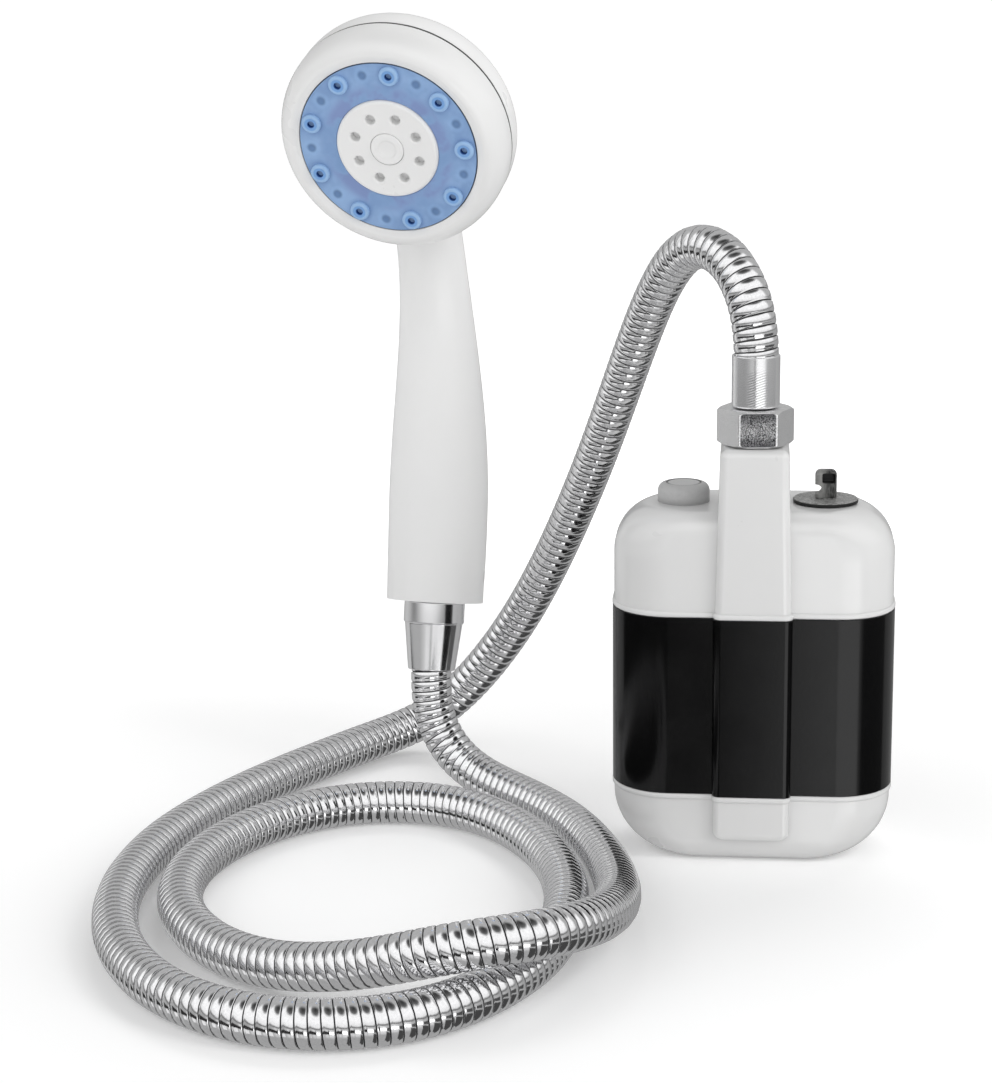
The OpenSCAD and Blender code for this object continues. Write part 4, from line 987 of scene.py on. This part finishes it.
def makeHandle():
    piece = startPiece("handset")
    origin = (0, 0, 0)
    tail, root = Vector(origin), Vector(handle["root"])
    lower = handle["tailReach"] * leaning(hand["lean"])
    upper = root - handle["rootReach"] * leaning(handle["rootLean"])
    for k in range(handle["rings"] + 1):
        t = k / handle["rings"]
        middle = (
            (1 - t) ** 3 * tail + 3 * t * (1 - t) ** 2 * lower
            + 3 * t * t * (1 - t) * upper + t**3 * root
        )
        along = (1 - t) ** 2 * (lower - tail) + 2 * t * (1 - t) * (upper - lower) + t * t * (root - upper)
        lean = math.atan2(along.y, along.z)
        size = (handleSize(middle.z, 0) / 2, handleSize(middle.z, 1) / 2, 1)
        if k == 0:
            middle = middle - handle["below"] * along.normalized()
        bpy.ops.mesh.primitive_circle_add(vertices=handle["sides"], radius=1, location=origin)
        bpy.ops.transform.resize(value=size, center_override=origin)
        bpy.ops.transform.rotate(value=lean, orient_axis="X", center_override=origin)
        bpy.ops.transform.translate(value=middle)
    onAll(bpy.ops.mesh.bridge_edge_loops)
    closePiece()
    return piece


def makeHeadBack():
    radius, rim, dome = handle["headRadius"], handle["rim"], handle["dome"]
    profile = [(radius, handle["past"])]
    for turn in sweep(0, 90, handle["domeSteps"])[:-1]:
        profile.append((radius * math.cos(turn), -rim - dome * math.sin(turn)))
    profile.append((handle["domeCore"], -rim - dome))
    piece = turnPiece("headBack", profile, sideCount["middle"])
    movePiece(piece, headLocal)
    return piece


# the ends are cut flat after the smoothing: the butt first, then the head alone
def makeHandset(finish):
    body = makeHandle()
    combine(body, "UNION", makeHeadBack())
    modify(body, "REMESH", {"mode": "VOXEL", "voxel_size": handle["voxel"]})
    modify(body, "SMOOTH", {"factor": handle["smoothShare"], "iterations": handle["smooth"]})
    cut = {"use_fill": True, "clear_outer": True}
    bpy.ops.object.mode_set(mode="EDIT")
    onAll(bpy.ops.mesh.bisect, plane_co=(0, 0, 0), plane_no=-leaning(hand["lean"]), **cut)
    bpy.ops.mesh.select_all(action="DESELECT")
    bpy.ops.object.mode_set(mode="OBJECT")
    for face in body.data.polygons:
        face.select = face.center.z > handle["headAbove"]
    bpy.ops.object.mode_set(mode="EDIT")
    headOut = headLocal.to_3x3() @ Vector((0, 0, 1))
    bpy.ops.mesh.bisect(plane_co=hand["headAt"], plane_no=headOut, **cut)
    bpy.ops.object.mode_set(mode="OBJECT")
    putPiece(
        body, handFrame, finish, "handset", "white_plastic", "handset_body", angle=40, weighted=False,
    )


# spray head, in the head's own frame: bezel, blue ring with its tips, white disc and its cap
bezel = {
    # height in the head's frame below which the bezel is painted near-black, painted shade in the gap at
    # the seam
    "seam": 0.95,
    # the spigot and the collar behind the seam
    "back": [(32.8, -3), (34.6, -3), (34.6, 0.05), (37.85, 0.05), (37.85, 0.95), (38, 1.1)],
    # the round front: its middle and its half sizes
    "crestAt": (32.2, 2.5), "crest": (5.8, 10), "crestSteps": 22,
    # down over the lip to the ledge, and back inside
    "front": [(32.2, 12.5), (31.8, 12.47), (30.15, 11.95), (29.75, 11.75), (29.65, 11.5), (29.65, 8)],
    "inside": [(28.15, 8), (28.15, 6.4), (31.2, 6.4), (32.8, 2.5), (32.8, -3)],
}


def makeBezel(finish):
    x, z = bezel["crestAt"]
    wide, high = bezel["crest"]
    turns = sweep(0, 90, bezel["crestSteps"])[1:-1]
    crest = [(x + wide * math.cos(turn), z + high * math.sin(turn)) for turn in turns]
    profile = bezel["back"] + crest + bezel["front"] + bezel["inside"]
    piece = turnPiece("bezel", profile, sideCount["wide"])
    putPiece(piece, headFrame, finish, "spray_head", "white_plastic", "head_bezel", angle=28)


ring = {
    "profile": [(17, 8), (29.5, 8), (29.5, 11.7), (29.2, 12), (17.2, 12), (17, 11.8), (17, 8)],
    # radii where the duller inside and the painted shade at the rim fade, then distances from a tip and
    # from a dimple
    "dullTo": (19.5, 23.5), "rimShadeFrom": (29.25, 29.45),
    "tipShade": (3.0, 5.2), "dimpleRim": (2.0, 3.4), "dimpleDark": (0.9, 1.9), "dimpleDip": (0.4, 2.2),
}
tips = {
    "count": 9, "across": 51.5,
    # the shank and side, the top, and the arcs between them and round the hole
    "side": [(1, 8), (2.2, 8), (2.2, 12.02), (3.2, 12.02), (3.2, 12.5)],
    "curve": ((2.5, 12.6), 0.7, 0, 80, 6), "top": [(2.2, 13.3), (2, 13.15)],
    "lip": ((1.4, 12.85), 0.4, 90, 180, 4), "foot": [(1, 8)],
    # distances from a tip's middle where the painted shade in the hole and the deeper blue round it end
    "holeShade": (1.0, 1.35), "deepTo": (1.9, 2.3),
}


# distance in millimetres to the nearest tip, or with an offset of a half, to the nearest dimple
def fromTip(x, y, offset):
    step = math.pi / tips["count"]
    radius = tips["across"] / 2
    turn = x.maths("ARCTAN2", y, x) - 2 * step * offset
    near = turn.maths("WRAP", turn, step, -step)
    far = farFrom(x, y)
    square = far * far + radius * radius - 2 * radius * far * near.maths("COSINE", near)
    return square.greater(0) ** 0.5


def blueRing():
    blue = Finish("blueRing", {"IOR": 1.45, "Coat Roughness": 0.15})
    x, y = blue.parts(blue.placeIn(headFrame))[:2]
    far, tip, dimple = farFrom(x, y), fromTip(x, y, 0), fromTip(x, y, 0.5)
    cloud = blue.noise(110)
    milky = blue.mix(cloud.rise(0.35, 0.65), (0.19, 0.315, 0.55), (0.25, 0.395, 0.64))
    inner = far.fall(*ring["dullTo"]) * cloud.rise(0.42, 0.58)
    milky = blue.mix(inner * 0.7, milky, (0.17, 0.22, 0.45))
    milky = blue.mix(tip.fall(*ring["tipShade"]) * 0.25, milky, (0.1, 0.19, 0.42))
    milky = blue.mix(dimple.fall(*ring["dimpleRim"]) * 0.3, milky, (0.26, 0.43, 0.7))
    milky = blue.mix(dimple.fall(*ring["dimpleDark"]) * 0.85, milky, (0.09, 0.18, 0.36))
    # painted shade: the ring's outer edge is dark where it meets the bezel
    blue.feed("Base Color", blue.mix(far.rise(*ring["rimShadeFrom"]), milky, (0.04, 0.07, 0.13)))
    blue.feed("Roughness", 0.32 + 0.16 * cloud)
    blue.feed("Coat Weight", 0.1 + 0.1 * cloud)
    blue.bump(dimple.rise(*ring["dimpleDip"]), depth=0.0006, strength=0.8)
    return blue


def blueTip():
    blue = Finish("blueTip", {"IOR": 1.42})
    x, y = blue.parts(blue.placeIn(headFrame))[:2]
    tip = fromTip(x, y, 0)
    cloud = blue.noise(300)
    pale = blue.mix(cloud, (0.25, 0.41, 0.66), (0.31, 0.48, 0.72))
    pale = blue.mix(tip.fall(*tips["deepTo"]) * 0.75, pale, (0.13, 0.3, 0.63))
    # painted shade: the hole and its lip are dark navy
    blue.feed("Base Color", blue.mix(tip.fall(*tips["holeShade"]), pale, (0.005, 0.045, 0.2)))
    blue.feed("Roughness", 0.34 + 0.14 * cloud)
    blue.bump(cloud, depth=0.00004, strength=0.3)
    return blue


def makeRing(finish):
    piece = turnPiece("nozzleRing", ring["profile"], sideCount["wide"])
    putPiece(piece, headFrame, finish, "spray_head", "blue_plastic", "nozzle_plate")


def makeTips(finish):
    profile = tips["side"] + arc(*tips["curve"]) + tips["top"] + arc(*tips["lip"]) + tips["foot"]
    first = turnPiece("nozzleTips", profile, sideCount["small"], (tips["across"] / 2, 0))
    piece = ringOf(first, tips["count"])
    putPiece(
        piece, headFrame, finish, "spray_head", "blue_rubber", "nozzle_tips", angle=50, weighted=False,
    )


disc = {
    # the flange under the ring, the rounded edge, and the raised rim's fall to the cap's seat
    "flange": [(core, 6.6), (18.96, 6.6), (18.96, 7.95), (16.96, 7.95)],
    "edge": ((15.76, 11.7), 1.2, 0, 90, 8),
    "top": [(14.36, 12.8), (12.76, 12.55), (5.62, 12.45), (5.62, 10.2), (core, 10.2)],
    "holes": 8, "across": 22,
    "hole": [(1.4, 9.8), (1.6, 12.1), (1.75, 12.3), (2.1, 12.5), (2.4, 12.56), (2.4, 15)],
}
discCap = {
    # up the edge, over the top and into the dip in its middle
    "profile": [
        (core, 10.25), (5.5, 10.25), (5.5, 12.45), (5.25, 12.7), (4.9, 12.78), (3.3, 12.8),
        (3.05, 12.72), (2.9, 12.55), (2.7, 12.5), (core, 12.5),
    ],
}


def makeDisc(finish):
    profile = disc["flange"] + arc(*disc["edge"]) + disc["top"]
    piece = turnPiece("disc", profile, sideCount["wide"])
    for k in range(disc["holes"]):
        turn = math.pi / disc["holes"] * (2 * k + 1)
        at = (math.cos(turn) * disc["across"] / 2, math.sin(turn) * disc["across"] / 2)
        combine(piece, "DIFFERENCE", turnPiece("hole", disc["hole"], sideCount["small"], at))
    putPiece(piece, headFrame, finish, "spray_head", "white_plastic", "centre_disc")


def makeDiscCap(finish):
    piece = turnPiece("discCap", discCap["profile"], sideCount["middle"])
    putPiece(piece, headFrame, finish, "spray_head", "white_plastic", "centre_cap", angle=50)


white = whitePlastic("whitePlastic", 0.78, 0.15)
discWhite = whitePlastic("discPlastic", 0.75, 0.2)
makeHandset(white)
makeBezel(whitePlastic("bezelPlastic", 0.73, 0.2, bezel["seam"]))
makeRing(blueRing())
makeTips(blueTip())
makeDisc(discWhite)
makeDiscCap(discWhite)
print("hand shower made")


def plainGrain(name, low, high, rough, metallic=0.0):
    grained = Finish(name, {"Metallic": metallic})
    grain = grained.noise(900, 4, 0.65)
    grained.feed("Base Color", grained.mix(grain, low, high))
    grained.feed("Roughness", rough[0] + (rough[1] - rough[0]) * grained.noise(75, 2))
    grained.bump(grain, depth=0.00004, strength=0.4)
    return grained


# the solids that still show take the finish of their slot
darkRubber = plainGrain("darkRubber", grey(0.012), grey(0.03), (0.55, 0.75))
steel = plainGrain("steel", (0.45, 0.45, 0.46), (0.6, 0.6, 0.61), (0.25, 0.4), 1.0)
brass = plainGrain("brass", (0.55, 0.4, 0.16), (0.7, 0.52, 0.22), (0.25, 0.4), 1.0)
innerPlastic = plainGrain("innerPlastic", (0.5, 0.5, 0.48), (0.58, 0.58, 0.56), (0.45, 0.6))
motorCan = plainGrain("motorCan", grey(0.5), grey(0.62), (0.3, 0.45), 1.0)
cellWrap = plainGrain("cellWrap", (0.03, 0.08, 0.3), (0.05, 0.12, 0.38), (0.25, 0.35))
boardGreen = plainGrain("boardGreen", (0.01, 0.09, 0.03), (0.02, 0.13, 0.05), (0.35, 0.5))
slotFinish = {
    "white_plastic": white, "steel": steel, "brass": brass, "inner_plastic": innerPlastic,
    "black_rubber": darkRubber, "switch_black": darkRubber, "motor_can": motorCan,
    "cell_wrap": cellWrap, "board_green": boardGreen,
}
for node in nodes.values():
    for place in node.material_slots:
        name = place.material.name.split(".")[0] if place.material else ""
        place.material = slotFinish.get(name, innerPlastic).material
print("nodes dressed")
